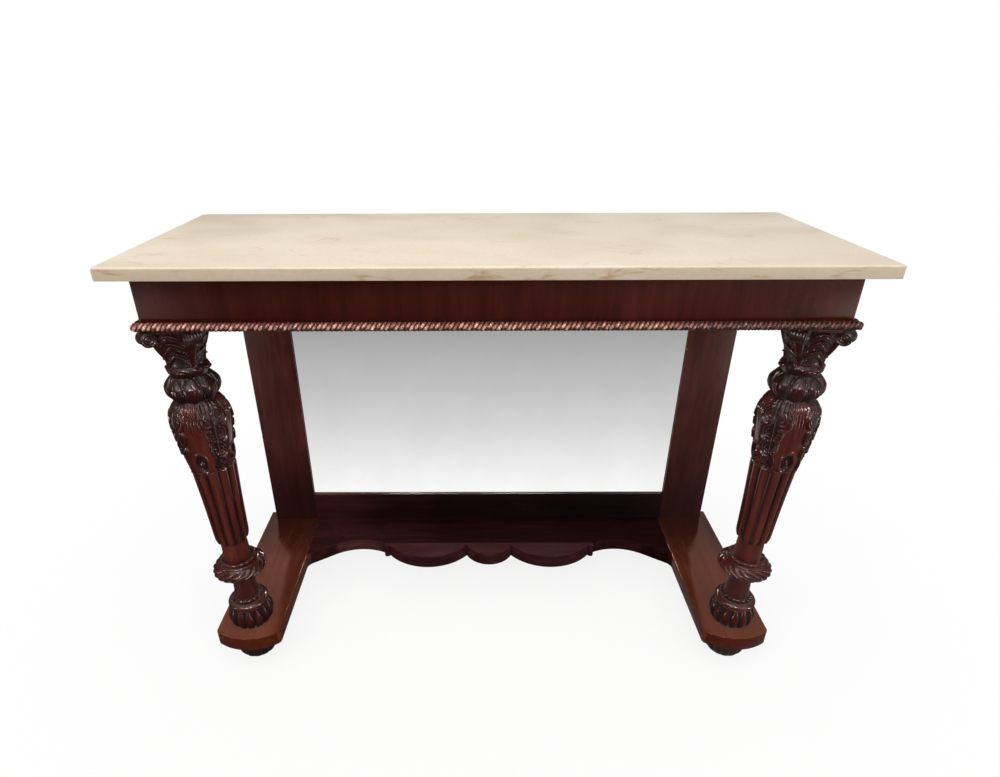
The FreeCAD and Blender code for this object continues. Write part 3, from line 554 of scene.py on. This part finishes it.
def footCut(a, z, r):
    half = math.pi / gadroonFoot["gadroons"]
    lobe = crown(fold(a, 2 * half) / half)
    fade = ramp(z, -2, 5) * (1 - ramp(z, 48, 56))
    # painted highlight on the gadroons, painted shade in the gaps
    return r - gadroonFoot["deep"] * fade * (1 - lobe), z, 0.05 + 0.2 * lobe * fade


frontFoot = turnedLength("front_foot", gadroonFoot, footCut)
shift(frontFoot, -leg["footX"] * mm, leg["y"] * mm, 0)
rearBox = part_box("rear_foot_left")
rearFoot = turnedLength("rear_foot", plainFoot)
shift(rearFoot, (rearBox[0].x + rearBox[1].x) / 2, (rearBox[0].y + rearBox[1].y) / 2, 0)
footPieces = {}
for end, foot in (("front", frontFoot), ("rear", rearFoot)):
    soften(foot, leg["smooth"])
    foot.name = f"foot_{end}_left"
    footPieces[end] = {"left": foot, "right": otherSide(foot, f"foot_{end}_right")}
print("feet turned")


# rope moulding: a half-round strip cut into twisted strands, mitred at the front corners

rope = {"tall": 18, "reach": 14, "pitch": 8.6, "deep": 4.6, "slant": 0.42, "quirk": 2.6, "step": 0.8,
        "arcRows": 17, "ground": 0.02, "smooth": 55,
        "dull": 0.74, "dullFrom": 780, "dullTo": 1150}  # the front run is darker towards its right end


def ropeRun(name, length, mitres):
    radius, pitch, arcRows = rope["tall"] / 2, rope["pitch"], rope["arcRows"]
    neckReach = rope["reach"] - radius
    columns = int(length / rope["step"])
    along = np.linspace(0, length, columns + 1)
    wander = 0.5 * np.sin(along / 23) + 0.4 * np.sin(along / 9.1 + 1)
    ledge = rope["tall"] - rope["quirk"]
    section = [(0, 0), (neckReach * 0.6, 0)] + [None] * arcRows + [(neckReach * 0.5, ledge), (0, ledge)]
    outs, ups, painted_shade_and_wear = (np.zeros((len(section), columns + 1)) for k in range(3))
    painted_shade_and_wear += rope["ground"]
    for row, spot in enumerate(section):
        if spot:
            outs[row], ups[row] = spot
            continue
        around = math.pi * (row - 2) / (arcRows - 1) - quarterTurn
        twist = rope["slant"] * radius * around
        across = fold(along + wander - twist, pitch) / (pitch / 2)
        lobe = crown(across * 0.98)
        threads = ridge(fold(across - 0.12, 0.62), 0.11)
        notch = 0.5 + 0.5 * np.cos(fullTurn * (along * 0.97 + twist) / pitch * 1.5)
        reach = radius - rope["deep"] * (1 - lobe) - 0.5 * threads * lobe - 1.1 * notch * lobe
        outs[row], ups[row] = neckReach + reach * math.cos(around), radius + reach * math.sin(around)
        # no two strands are rubbed alike
        strand = np.round((along + wander - twist) / pitch)
        worn, high = np.sin(strand * 2.4 + 1), 0.35 * np.sin(strand * 4.1)
        # painted highlight: each strand is lit in a band across its middle, painted dark towards its top and
        # bottom
        lit = 0.08 + 0.92 * ramp(around - high, -0.55, 0.1) * (1 - 0.75 * ramp(around - high, 0.45, 1.0))
        rubbed = 0.78 + 0.14 * np.sin(along / 61 + 2) * np.sin(along / 17) + 0.24 * worn
        if mitres[0]:
            rubbed = rubbed * (1 - rope["dull"] * ramp(along, rope["dullFrom"], rope["dullTo"]))
        # painted shade in the grooves and on the ledge behind, painted highlight on the crests, with wear
        painted_shade_and_wear[row] = (0.04 + 1.02 * lobe ** 2.5 - 0.25 * threads - 0.3 * notch * lobe) * lit * rubbed
    x = np.broadcast_to(along, outs.shape).copy()
    if mitres[0]:
        x = np.maximum(x, rope["reach"] - outs)
    if mitres[1]:
        x = np.minimum(x, length - (rope["reach"] - outs))
    rows, cols = outs.shape
    last = (rows - 1) * cols
    verts = np.stack([x, -outs, ups], -1).reshape(-1, 3) * mm
    faces = [(i * cols + j, i * cols + j + 1, (i + 1) * cols + j + 1, (i + 1) * cols + j)
             for i in range(rows - 1) for j in range(cols - 1)]
    faces += [(j, last + j, last + j + 1, j + 1) for j in range(cols - 1)]
    faces += [tuple(i * cols for i in range(rows)), tuple(i * cols + cols - 1 for i in reversed(range(rows)))]
    piece = newPiece(name, verts, faces)
    markPoints(piece, "painted_shade_and_wear", painted_shade_and_wear)
    weld(piece)
    soften(piece, rope["smooth"])
    return piece


frontBox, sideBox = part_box("rope_moulding_front"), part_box("rope_moulding_left")
ropeFront = ropeRun("rope_front", (frontBox[1].x - frontBox[0].x) / mm, (True, True))
shift(ropeFront, frontBox[0].x, frontBox[1].y, frontBox[0].z)
ropeLeft = ropeRun("rope_left", (sideBox[1].y - sideBox[0].y) / mm, (False, True))
ropeLeft.data.transform(Matrix.Translation((sideBox[1].x, sideBox[1].y, sideBox[0].z))
                        @ Matrix.Rotation(-quarterTurn, 4, "Z"))
ropePieces = {"front": ropeFront, "left": ropeLeft, "right": otherSide(ropeLeft, "rope_right")}
print("rope mouldings twisted")


# boards with eased edges, from the CAD boards' own outlines

# CAD node, piece, easing of the edges in millimetres, slot and finish
boards = [("marble_top", "slab", 1.4, "marble", "cream_marble"),
          ("frieze_front_rail", "frieze_front", 0.9, "frieze_veneer", "frieze_mahogany"),
          ("frieze_end_left", "frieze_left", 0.9, "frieze_veneer", "frieze_mahogany"),
          ("frieze_end_right", "frieze_right", 0.9, "frieze_veneer", "frieze_mahogany"),
          ("pilaster_left", "stile_left", 0.9, "pilaster_veneer", "pilaster_mahogany"),
          ("pilaster_right", "stile_right", 0.9, "pilaster_veneer", "pilaster_mahogany"),
          ("mirror_bottom_rail", "glass_rail_foot", 0.9, "rail_veneer", "rail_mahogany"),
          ("mirror_top_rail", "glass_rail_head", 0.9, "rail_veneer", "rail_mahogany"),
          ("plinth_centre", "plinth_middle", 1.0, "plinth_veneer", "middle_mahogany"),
          ("plinth_apron", "plinth_apron_carved", 1.0, "plinth_veneer", "apron_mahogany"),
          ("plinth_arm_left", "plinth_left", 2.6, "plinth_veneer", "plinth_mahogany"),
          ("plinth_arm_right", "plinth_right", 2.6, "plinth_veneer", "plinth_mahogany")]
# front top edges that are rolled over: the roll's size, and the depth that they lie before
rolled = {"plinth_middle": {"size": 7, "before": 103}, "plinth_apron_carved": {"size": 6, "before": 103}}
easing = {"weld": 0.00001, "flat": 0.4, "smooth": 30, "smallFace": 4e-4}


def easedBoard(cadName, name, ease, roll):
    piece = copyOf(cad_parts[cadName], name)
    piece.data.materials.clear()
    openMesh(piece)
    bpy.ops.mesh.remove_doubles(threshold=easing["weld"])
    bpy.ops.mesh.dissolve_limited(angle_limit=math.radians(easing["flat"]))
    bpy.ops.mesh.normals_make_consistent(inside=False)
    bpy.ops.mesh.select_mode(type="EDGE")
    bpy.ops.mesh.select_all(action="DESELECT")
    closeMesh()
    if roll:
        spots = points(piece) / mm
        top, back = spots[:, 2].max() - 0.1, spots[:, 1].max() - 2
        for line in piece.data.edges:
            a, b = (spots[k] for k in line.vertices)
            line.select = bool(min(a[2], b[2]) > top and max(a[1], b[1]) < min(back, roll["before"]))
        bpy.ops.object.mode_set(mode="EDIT")
        bpy.ops.mesh.bevel(offset=roll["size"] * mm, segments=6, profile=0.5, affect="EDGES",
                           clamp_overlap=True)
        closeMesh()
    easeEdges(piece, ease)
    # points that lie only on the eased edges are worn, and lighter there as a painted edge highlight
    small, large = set(), set()
    spots = points(piece) / mm
    for face in piece.data.polygons:
        corners = spots[list(face.vertices)]
        narrow = np.linalg.norm(corners - np.roll(corners, 1, 0), axis=1).min() < 0.75 * ease
        (small if narrow or roll and face.area < easing["smallFace"] else large).update(face.vertices)
    wear_and_edge_highlight = np.zeros(len(spots))
    wear_and_edge_highlight[[v for v in small if v not in large]] = 1
    markPoints(piece, "wear_and_edge_highlight", wear_and_edge_highlight)
    soften(piece, easing["smooth"])
    return piece


boardPieces = {}
for cadName, name, ease, slotName, finishName in boards:
    boardPieces[name] = easedBoard(cadName, name, ease, rolled.get(name))
print("boards eased")


# finishes: a source is a node and the number or name of one of its outputs

def newFinish(name):
    finish = bpy.data.materials.new(name)
    finish.use_nodes = True
    tree = finish.node_tree
    tree.nodes.clear()
    out = tree.nodes.new("ShaderNodeOutputMaterial")
    shader = tree.nodes.new("ShaderNodeBsdfPrincipled")
    tree.links.new(shader.outputs[0], out.inputs[0])
    return finish, tree, shader


def node(tree, kind, **values):
    made = tree.nodes.new("ShaderNode" + kind)
    for key, entry in values.items():
        setattr(made, key, entry)
    return made


def feed(tree, target, socket, source):
    maker, output = source
    tree.links.new(maker.outputs[output], target.inputs[socket])


def grain(tree, scale, detail, twist=0.0):
    stretch = node(tree, "Mapping")
    stretch.inputs["Scale"].default_value = scale
    feed(tree, stretch, "Vector", (node(tree, "TexCoord"), "Object"))
    cloud = node(tree, "TexNoise")
    for socket, entry in (("Scale", 1.0), ("Detail", detail), ("Distortion", twist)):
        cloud.inputs[socket].default_value = entry
    feed(tree, cloud, "Vector", (stretch, 0))
    return cloud, 0


def shades(tree, source, stops):
    # a grey is given as one number
    bands = node(tree, "ValToRGB")
    while len(bands.color_ramp.elements) < len(stops):
        bands.color_ramp.elements.new(0.5)
    for element, (spot, colour) in zip(bands.color_ramp.elements, stops):
        element.position = spot
        element.color = (*colour, 1) if isinstance(colour, tuple) else (colour, colour, colour, 1)
    feed(tree, bands, "Fac", source)
    return bands, 0


def rise(tree, source, low, high, start=0.0, end=1.0):
    made = node(tree, "MapRange")
    for socket, entry in enumerate((low, high, start, end), 1):
        made.inputs[socket].default_value = entry
    feed(tree, made, 0, source)
    return made, 0


def apart(tree, kind="TexCoord", output="Object"):
    # x, y and z of a place or a direction
    made = node(tree, "SeparateXYZ")
    feed(tree, made, 0, (node(tree, kind), output))
    return made


def combined(tree, operation, first, second):
    made = node(tree, "Math", operation=operation)
    feed(tree, made, 0, first)
    feed(tree, made, 1, second)
    return made, 0


def blend(tree, mode, share, under, over):
    # each of under and over is a source or a plain colour; the colours go in at 6 and 7 and come out at 2
    mix = node(tree, "Mix", data_type="RGBA", blend_type=mode)
    if isinstance(share, tuple):
        feed(tree, mix, 0, share)
    else:
        mix.inputs[0].default_value = share
    for socket, entry in ((6, under), (7, over)):
        if len(entry) == 2:
            feed(tree, mix, socket, entry)
        else:
            mix.inputs[socket].default_value = (*entry, 1)
    return mix, 2


def roughen(tree, shader, source, strength):
    bump = node(tree, "Bump")
    bump.inputs["Strength"].default_value = strength
    bump.inputs["Distance"].default_value = 0.0004
    feed(tree, bump, "Height", source)
    feed(tree, shader, "Normal", (bump, 0))


white = (1, 1, 1)
grainSize = {"figure": (58.0, 5.0), "pores": (750.0, 22.0), "clouds": 7.0}  # across and along the wood


def polishedWood(name, colours, along, gloss, coat, shine, layer=None, layerColours=None, darkEnds=(),
                 uprightPaintedLight=None, polishTint=white):
    finish, tree, shader = newFinish(name)

    def stretched(across, lengthwise):
        return [lengthwise if axis == along else across for axis in "XYZ"]

    deep, body, light = colours
    figure = grain(tree, stretched(*grainSize["figure"]), 5.0, 0.5)
    pores = grain(tree, stretched(*grainSize["pores"]), 2.0)
    clouds = grain(tree, [grainSize["clouds"]] * 3, 3.0)
    colour = shades(tree, figure, [(0.27, deep), (0.5, body), (0.73, light)])
    colour = blend(tree, "MULTIPLY", 0.55, colour, shades(tree, pores, [(0.36, 0.62), (0.5, 1.0)]))
    colour = blend(tree, "MULTIPLY", 0.8, colour, shades(tree, clouds, [(0.32, 0.78), (0.7, 1.18)]))
    rough = shades(tree, clouds, list(zip((0.3, 0.7), gloss)))
    # colours laid over the wood: stains and wear, with painted shade and painted light
    stainsAndPaintedShade = []
    # the layer: wear with a painted edge highlight on boards, painted shade and highlights on carving
    if layer:
        mark = (node(tree, "Attribute", attribute_name=layer), "Fac")
        stainsAndPaintedShade.append(blend(tree, "MIX", mark, *layerColours))
    if layer == "painted_shade_and_wear":
        # between hollow and crest the stain shows redder, and the hollows are dull
        stainsAndPaintedShade.append(blend(tree, "MIX", rise(tree, mark, 0.25, 0.85), (1, 0.68, 0.6), white))
        rough = combined(tree, "ADD", rough, shades(tree, mark, [(0.05, 0.34), (0.3, 0.0)]))
    for axis, darkPlace, lightPlace, shade in darkEnds:
        # darker towards one end: on most boards painted shade, on the rail and the middle board a painted
        # reflection at the lighter end, on the stiles darker towards the foot
        share = rise(tree, (apart(tree), axis), darkPlace, lightPlace)
        stainsAndPaintedShade.append(blend(tree, "MIX", share, shade, white))
    if uprightPaintedLight:
        # painted light: upright faces differ from the flat by this share
        flat = rise(tree, (apart(tree, "NewGeometry", "Normal"), 2), 0.2, 0.75)
        stainsAndPaintedShade.append(blend(tree, "MIX", flat, (uprightPaintedLight,) * 3, white))
    for stain in stainsAndPaintedShade:
        colour = blend(tree, "MULTIPLY", 1.0, colour, stain)
    feed(tree, shader, "Base Color", colour)
    feed(tree, shader, "Roughness", rough)
    roughen(tree, shader, pores, 0.12)
    shader.inputs["Specular IOR Level"].default_value = shine
    shader.inputs["Specular Tint"].default_value = (*polishTint, 1)
    shader.inputs["Coat Weight"].default_value = coat
    shader.inputs["Coat Roughness"].default_value = 0.16
    return finish


pine = ((0.2, 0.115, 0.055), (0.29, 0.18, 0.095), (0.38, 0.25, 0.145))
# colours from the deepest to the lightest; a dark end is an axis, where it is dark, where it is light, and
# its shade; on the boards the layer lightens the eased edges, as wear and as a painted edge highlight
woods = {
    "frieze_mahogany": {
        "colours": ((0.05, 0.0052, 0.0017), (0.064, 0.0072, 0.0026), (0.081, 0.0108, 0.0042)),
        "along": "Z", "gloss": (0.26, 0.36), "coat": 0.07, "shine": 0.14,
        "layer": "wear_and_edge_highlight", "layerColours": (white, (2.0, 2.6, 2.6)),
        # painted shade: darker towards the left end
        "darkEnds": [(0, -0.6, 0.6, (0.72, 0.55, 0.45))]},
    "pilaster_mahogany": {
        "colours": ((0.055, 0.009, 0.006), (0.075, 0.0135, 0.0095), (0.1, 0.02, 0.014)),
        "along": "Z", "gloss": (0.3, 0.42), "coat": 0.08, "shine": 0.2,
        "layer": "wear_and_edge_highlight", "layerColours": (white, (1.8, 2.0, 2.0)),
        # darker towards the foot
        "darkEnds": [(2, 0.14, 0.42, (0.42, 0.36, 0.4))]},
    "rail_mahogany": {
        "colours": ((0.026, 0.0048, 0.0052), (0.042, 0.0085, 0.0085), (0.066, 0.016, 0.015)),
        "along": "X", "gloss": (0.3, 0.42), "coat": 0.04, "shine": 0.1,
        "layer": "wear_and_edge_highlight", "layerColours": (white, (1.8, 2.0, 2.0)),
        # painted reflection: lighter towards the left end
        "darkEnds": [(0, -0.13, -0.38, (0.22, 0.17, 0.24))]},
    # a red polish: what it mirrors takes its colour
    "plinth_mahogany": {
        "colours": ((0.05, 0.0085, 0.004), (0.066, 0.012, 0.0055), (0.088, 0.0175, 0.008)),
        "along": "Y", "gloss": (0.12, 0.18), "coat": 0.0, "shine": 1.0, "polishTint": (1, 0.32, 0.18),
        # painted light: upright faces half as light again as the flat
        "layer": "wear_and_edge_highlight", "layerColours": (white, (1.6, 2.2, 2.4)), "uprightPaintedLight": 1.5,
        # painted shade: darker towards the front, towards the back and on the right arm
        "darkEnds": [(1, -0.245, -0.05, (0.8, 0.75, 0.72)), (1, 0.16, 0.0, (0.5, 0.45, 0.5)),
                     (0, 0.5, -0.5, (0.78, 0.74, 0.76))]},
    "middle_mahogany": {
        "colours": ((0.02, 0.005, 0.0055), (0.034, 0.0085, 0.009), (0.058, 0.016, 0.016)),
        "along": "X", "gloss": (0.5, 0.6), "coat": 0.0, "shine": 0.02,
        "layer": "wear_and_edge_highlight", "layerColours": (white, (2.6, 3.4, 3.0)),
        # painted reflection: lighter towards the left end
        "darkEnds": [(0, -0.13, -0.38, (0.34, 0.22, 0.3))]},
    "apron_mahogany": {
        "colours": ((0.01, 0.0015, 0.0026), (0.016, 0.0026, 0.0038), (0.03, 0.0052, 0.007)),
        "along": "X", "gloss": (0.45, 0.55), "coat": 0.0, "shine": 0.05,
        "layer": "wear_and_edge_highlight", "layerColours": (white, (2.6, 3.4, 3.0))},
    "carved_mahogany": {
        "colours": ((0.045, 0.0095, 0.007), (0.07, 0.0145, 0.0105), (0.1, 0.0225, 0.0165)),
        "along": "Z", "gloss": (0.18, 0.27), "coat": 0.14, "shine": 0.2,
        # painted shade in the hollows, painted highlights on the crests, redder wear on plain parts
        "layer": "painted_shade_and_wear", "layerColours": ((0.16, 0.09, 0.08), (1.45, 1.2, 1.1))},
    "turned_mahogany": {
        "colours": ((0.043, 0.009, 0.0065), (0.068, 0.0135, 0.0095), (0.098, 0.022, 0.015)),
        "along": "Z", "gloss": (0.12, 0.2), "coat": 0.12, "shine": 0.35},
    "rope_mahogany": {
        "colours": ((0.36, 0.16, 0.12), (0.5, 0.25, 0.195), (0.64, 0.37, 0.29)),
        "along": "X", "gloss": (0.22, 0.32), "coat": 0.16, "shine": 0.16,
        # painted highlight across the strands, painted shade in their grooves, with wear
        "layer": "painted_shade_and_wear", "layerColours": ((0.06, 0.025, 0.02), (2.3, 2.7, 2.95))},
    "foot_mahogany": {
        "colours": ((0.012, 0.004, 0.003), (0.022, 0.007, 0.005), (0.035, 0.011, 0.008)),
        "along": "Z", "gloss": (0.25, 0.4), "coat": 0.3, "shine": 0.4},
    "secondary_pine": {"colours": pine, "along": "X", "gloss": (0.6, 0.8), "coat": 0.0, "shine": 0.3},
    "backboard_pine": {"colours": pine, "along": "Z", "gloss": (0.6, 0.8), "coat": 0.0, "shine": 0.3}}


cream = {"deep": (0.675, 0.585, 0.455), "body": (0.715, 0.628, 0.505), "light": (0.745, 0.668, 0.555),
         "vein": (0.48, 0.33, 0.2), "stain": (0.72, 0.6, 0.46), "edge": (0.77, 0.72, 0.66),
         "edgeHeight": (0.9455, 0.9492), "gloss": (0.3, 0.42)}


def creamMarble():
    finish, tree, shader = newFinish("cream_marble")
    cloud = grain(tree, (5.0, 7.0, 7.0), 6.0, 0.6)
    base = shades(tree, cloud, [(0.3, cream["deep"]), (0.52, cream["body"]), (0.72, cream["light"])])
    veinCloud = grain(tree, (3.2, 5.5, 5.5), 8.0, 1.6)
    vein = shades(tree, veinCloud, [(0.485, 0.0), (0.5, 1.0), (0.515, 0.0)])
    patch = shades(tree, grain(tree, (9.0, 13.0, 13.0), 2.0), [(0.52, 0.0), (0.68, 0.4)])
    colour = blend(tree, "MIX", combined(tree, "MULTIPLY", vein, patch), base, cream["vein"])
    specks = shades(tree, grain(tree, (120.0, 120.0, 120.0), 3.0), [(0.35, 0.93), (0.6, 1.0)])
    colour = blend(tree, "MULTIPLY", 0.7, colour, specks)
    # the moulded edge is painted browner and darker than the polished face, partly the marble's own colour
    # and partly painted shade, with a few short stain marks
    below = rise(tree, (apart(tree), 2), *cream["edgeHeight"], 1.0, 0.0)
    stain = shades(tree, grain(tree, (14.0, 14.0, 60.0), 4.0, 0.8), [(0.56, white), (0.7, cream["stain"])])
    edgeShadeAndTint = blend(tree, "MULTIPLY", 1.0, stain, cream["edge"])
    colour = blend(tree, "MIX", below, colour, blend(tree, "MULTIPLY", 1.0, colour, edgeShadeAndTint))
    feed(tree, shader, "Base Color", colour)
    feed(tree, shader, "Roughness", shades(tree, cloud, list(zip((0.3, 0.7), cream["gloss"]))))
    roughen(tree, shader, veinCloud, 0.05)
    shader.inputs["Specular IOR Level"].default_value = 0.35
    return finish


def silveredGlass():
    finish, tree, shader = newFinish("silvered_glass")
    cloud = grain(tree, (9.0, 9.0, 9.0), 4.0, 0.3)
    tint = shades(tree, cloud, [(0.3, (0.9, 0.91, 0.9)), (0.7, (0.95, 0.955, 0.95))])
    feed(tree, shader, "Base Color", tint)
    shader.inputs["Roughness"].default_value = 0.0
    shader.inputs["Metallic"].default_value = 1.0
    return finish


finishes = {name: polishedWood(name, **facts) for name, facts in woods.items()}
finishes["cream_marble"], finishes["silvered_glass"] = creamMarble(), silveredGlass()
print("finishes mixed")


def dress(piece, finishName):
    piece.data.materials.clear()
    piece.data.materials.append(finishes[finishName])
    for face in piece.data.polygons:
        face.material_index = 0


for cadName, name, ease, slotName, finishName in boards:
    dress(boardPieces[name], finishName)
    settle(boardPieces[name], slotName, cadName)
for side, pieces in legPieces.items():
    for name, piece in pieces.items():
        dress(piece, "turned_mahogany" if name in ("ring", "ankle", "abacus") else "carved_mahogany")
        settle(piece, "carved_wood", *([f"leg_{side}"] if name == "bun" else []))
for end, pair in footPieces.items():
    for side, piece in pair.items():
        dress(piece, "foot_mahogany")
        settle(piece, "carved_wood", f"{end}_foot_{side}")
for side, piece in ropePieces.items():
    dress(piece, "rope_mahogany")
    settle(piece, "rope_wood", f"rope_moulding_{side}")
for name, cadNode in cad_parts.items():
    if cadNode.hide_render:
        continue
    pineName = "backboard_pine" if name.startswith("backboard") else "secondary_pine"
    finish = finishes["silvered_glass" if name == "mirror_plate" else pineName]
    if not cadNode.data.materials:
        cadNode.data.materials.append(finish)
    for slotNumber in range(len(cadNode.data.materials)):
        cadNode.data.materials[slotNumber] = finish
# the mirror shows only the pale studio, so what stands before it isn't seen in reflections
unmirrored = [piece for pieces in (*legPieces.values(), *footPieces.values()) for piece in pieces.values()]
unmirrored += [piece for name, piece in boardPieces.items() if "plinth" in name]
unmirrored += [cadNode for name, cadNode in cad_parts.items() if "plinth" in name]
for piece in unmirrored:
    piece.visible_glossy = False
print("pieces dressed")


# floor, light and camera

def layFloor():
    bare()
    bpy.ops.mesh.primitive_plane_add(size=60, location=(0, 0, 0))
    floor = bpy.context.object
    floor.name = "studio_floor"
    finish, tree, shader = newFinish("studio_floor")
    shader.inputs["Base Color"].default_value = (0.86, 0.86, 0.86, 1)
    shader.inputs["Roughness"].default_value = 0.9
    shader.inputs["Specular IOR Level"].default_value = 0.0
    ray, place = node(tree, "LightPath"), apart(tree)

    def over(under, light, share):
        join = node(tree, "MixShader")
        feed(tree, join, 0, share)
        feed(tree, join, 1, under)
        feed(tree, join, 2, light)
        return join, 0

    def glow(colour=None):
        light = node(tree, "Emission")
        if colour:
            feed(tree, light, "Color", colour)
        return light, 0

    # seen straight on, the floor is white, with a faint shadow up to 1.5 m from the middle
    reach = node(tree, "VectorMath", operation="LENGTH")
    feed(tree, reach, 0, (node(tree, "TexCoord"), "Object"))
    near = rise(tree, (reach, "Value"), 0.6, 1.5, 0.86, 1.0)
    look = over((shader, 0), glow(), combined(tree, "MULTIPLY", (ray, "Is Camera Ray"), near))
    # painted reflection: in polish the floor glows dim, brighter towards the right
    aside = rise(tree, (place, 0), -2.0, 2.5)
    dim = shades(tree, aside, [(0.0, 0.02), (0.4, 0.06), (0.7, 0.2), (1.0, 0.34)])
    look = over(look, glow(dim), (ray, "Is Glossy Ray"))
    # painted reflection: in the mirror the floor glows, falling away from white to grey
    forward = rise(tree, (place, 1), -2.0, 0.0)
    fall = shades(tree, forward, [(0.0, 0.29), (0.2, 0.4), (0.565, 0.57), (0.755, 0.72), (0.9, 0.9),
                                  (0.97, 1.0)])
    mirrored = combined(tree, "MULTIPLY", (ray, "Is Singular Ray"), (ray, "Is Glossy Ray"))
    look = over(look, glow(fall), mirrored)
    feed(tree, next(n for n in tree.nodes if n.type == "OUTPUT_MATERIAL"), 0, look)
    floor.data.materials.append(finish)


def hangSky():
    # brighter overhead for the light, plain white to the camera
    world = bpy.data.worlds.new("studio")
    bpy.context.scene.world = world
    world.use_nodes = True
    tree = world.node_tree
    tree.nodes.clear()
    out = tree.nodes.new("ShaderNodeOutputWorld")
    soft, plain, mix = node(tree, "Background"), node(tree, "Background"), node(tree, "MixShader")
    height = (apart(tree, output="Generated"), 2)
    feed(tree, soft, "Color", shades(tree, height, [(0.0, 0.13), (0.35, 0.3), (0.75, 0.8), (1.0, 1.0)]))
    soft.inputs["Strength"].default_value = 1.0
    plain.inputs["Strength"].default_value = 1.0
    plain.inputs["Color"].default_value = (*white, 1)
    feed(tree, mix, 0, (node(tree, "LightPath"), "Is Camera Ray"))
    feed(tree, mix, 1, (soft, 0))
    feed(tree, mix, 2, (plain, 0))
    feed(tree, out, 0, (mix, 0))


# place, aim, size, watts and colour of each lamp
lamps = {"overhead": ((-0.1, -0.7, 3.2), (0, 0, 0.9), 1.3, 29, (1, 0.97, 0.94)),
         "key_left": ((-1.7, -1.75, 2.4), (-0.1, 0, 0.6), 0.45, 17, (1, 0.92, 0.86)),
         "fill_right": ((2.2, -2.3, 1.7), (0.2, 0, 0.6), 1.8, 24, (1, 0.95, 0.92)),
         "glint": ((-0.7, -2.2, 2.0), (0, -0.1, 0.5), 0.24, 46, (1, 0.93, 0.9)),
         "sparkle": ((0.35, -2.3, 2.1), (0, -0.1, 0.5), 0.45, 54, (1, 0.93, 0.9)),
         "low_left": ((-2.6, -1.3, 0.12), (-0.57, -0.17, 0.14), 0.22, 22, (1, 0.93, 0.9)),
         "low_right": ((2.6, -1.3, 0.12), (0.57, -0.17, 0.14), 0.22, 22, (1, 0.93, 0.9))}
mainLamps = ("overhead", "key_left", "fill_right")  # the others only put lights into the polish


def hangLamps():
    for name, (spot, aim, size, power, colour) in lamps.items():
        lamp = bpy.data.lights.new(name, "AREA")
        lamp.shape, lamp.size, lamp.energy, lamp.color = "SQUARE", size, power, colour
        holder = bpy.data.objects.new(name, lamp)
        bpy.context.scene.collection.objects.link(holder)
        holder.location = spot
        holder.rotation_euler = (Vector(aim) - Vector(spot)).to_track_quat("-Z", "Y").to_euler()
        holder.visible_diffuse = name in mainLamps


camera = {"place": (-0.03664, -1.28144, 1.21139), "turn": (62.1321, 0.2118, 0.1263),
          "lens": 22.693, "sensor": 36, "shift": (0.02693, 0.0315)}


def placeCamera():
    view = bpy.data.cameras.new("view")
    view.lens, view.sensor_width = camera["lens"], camera["sensor"]
    view.shift_x, view.shift_y = camera["shift"]
    holder = bpy.data.objects.new("view", view)
    bpy.context.scene.collection.objects.link(holder)
    holder.location = camera["place"]
    holder.rotation_euler = [math.radians(angle) for angle in camera["turn"]]
    bpy.context.scene.camera = holder
    bpy.context.scene.view_settings.view_transform = "Standard"


layFloor()
hangSky()
hangLamps()
placeCamera()
print("studio lit")
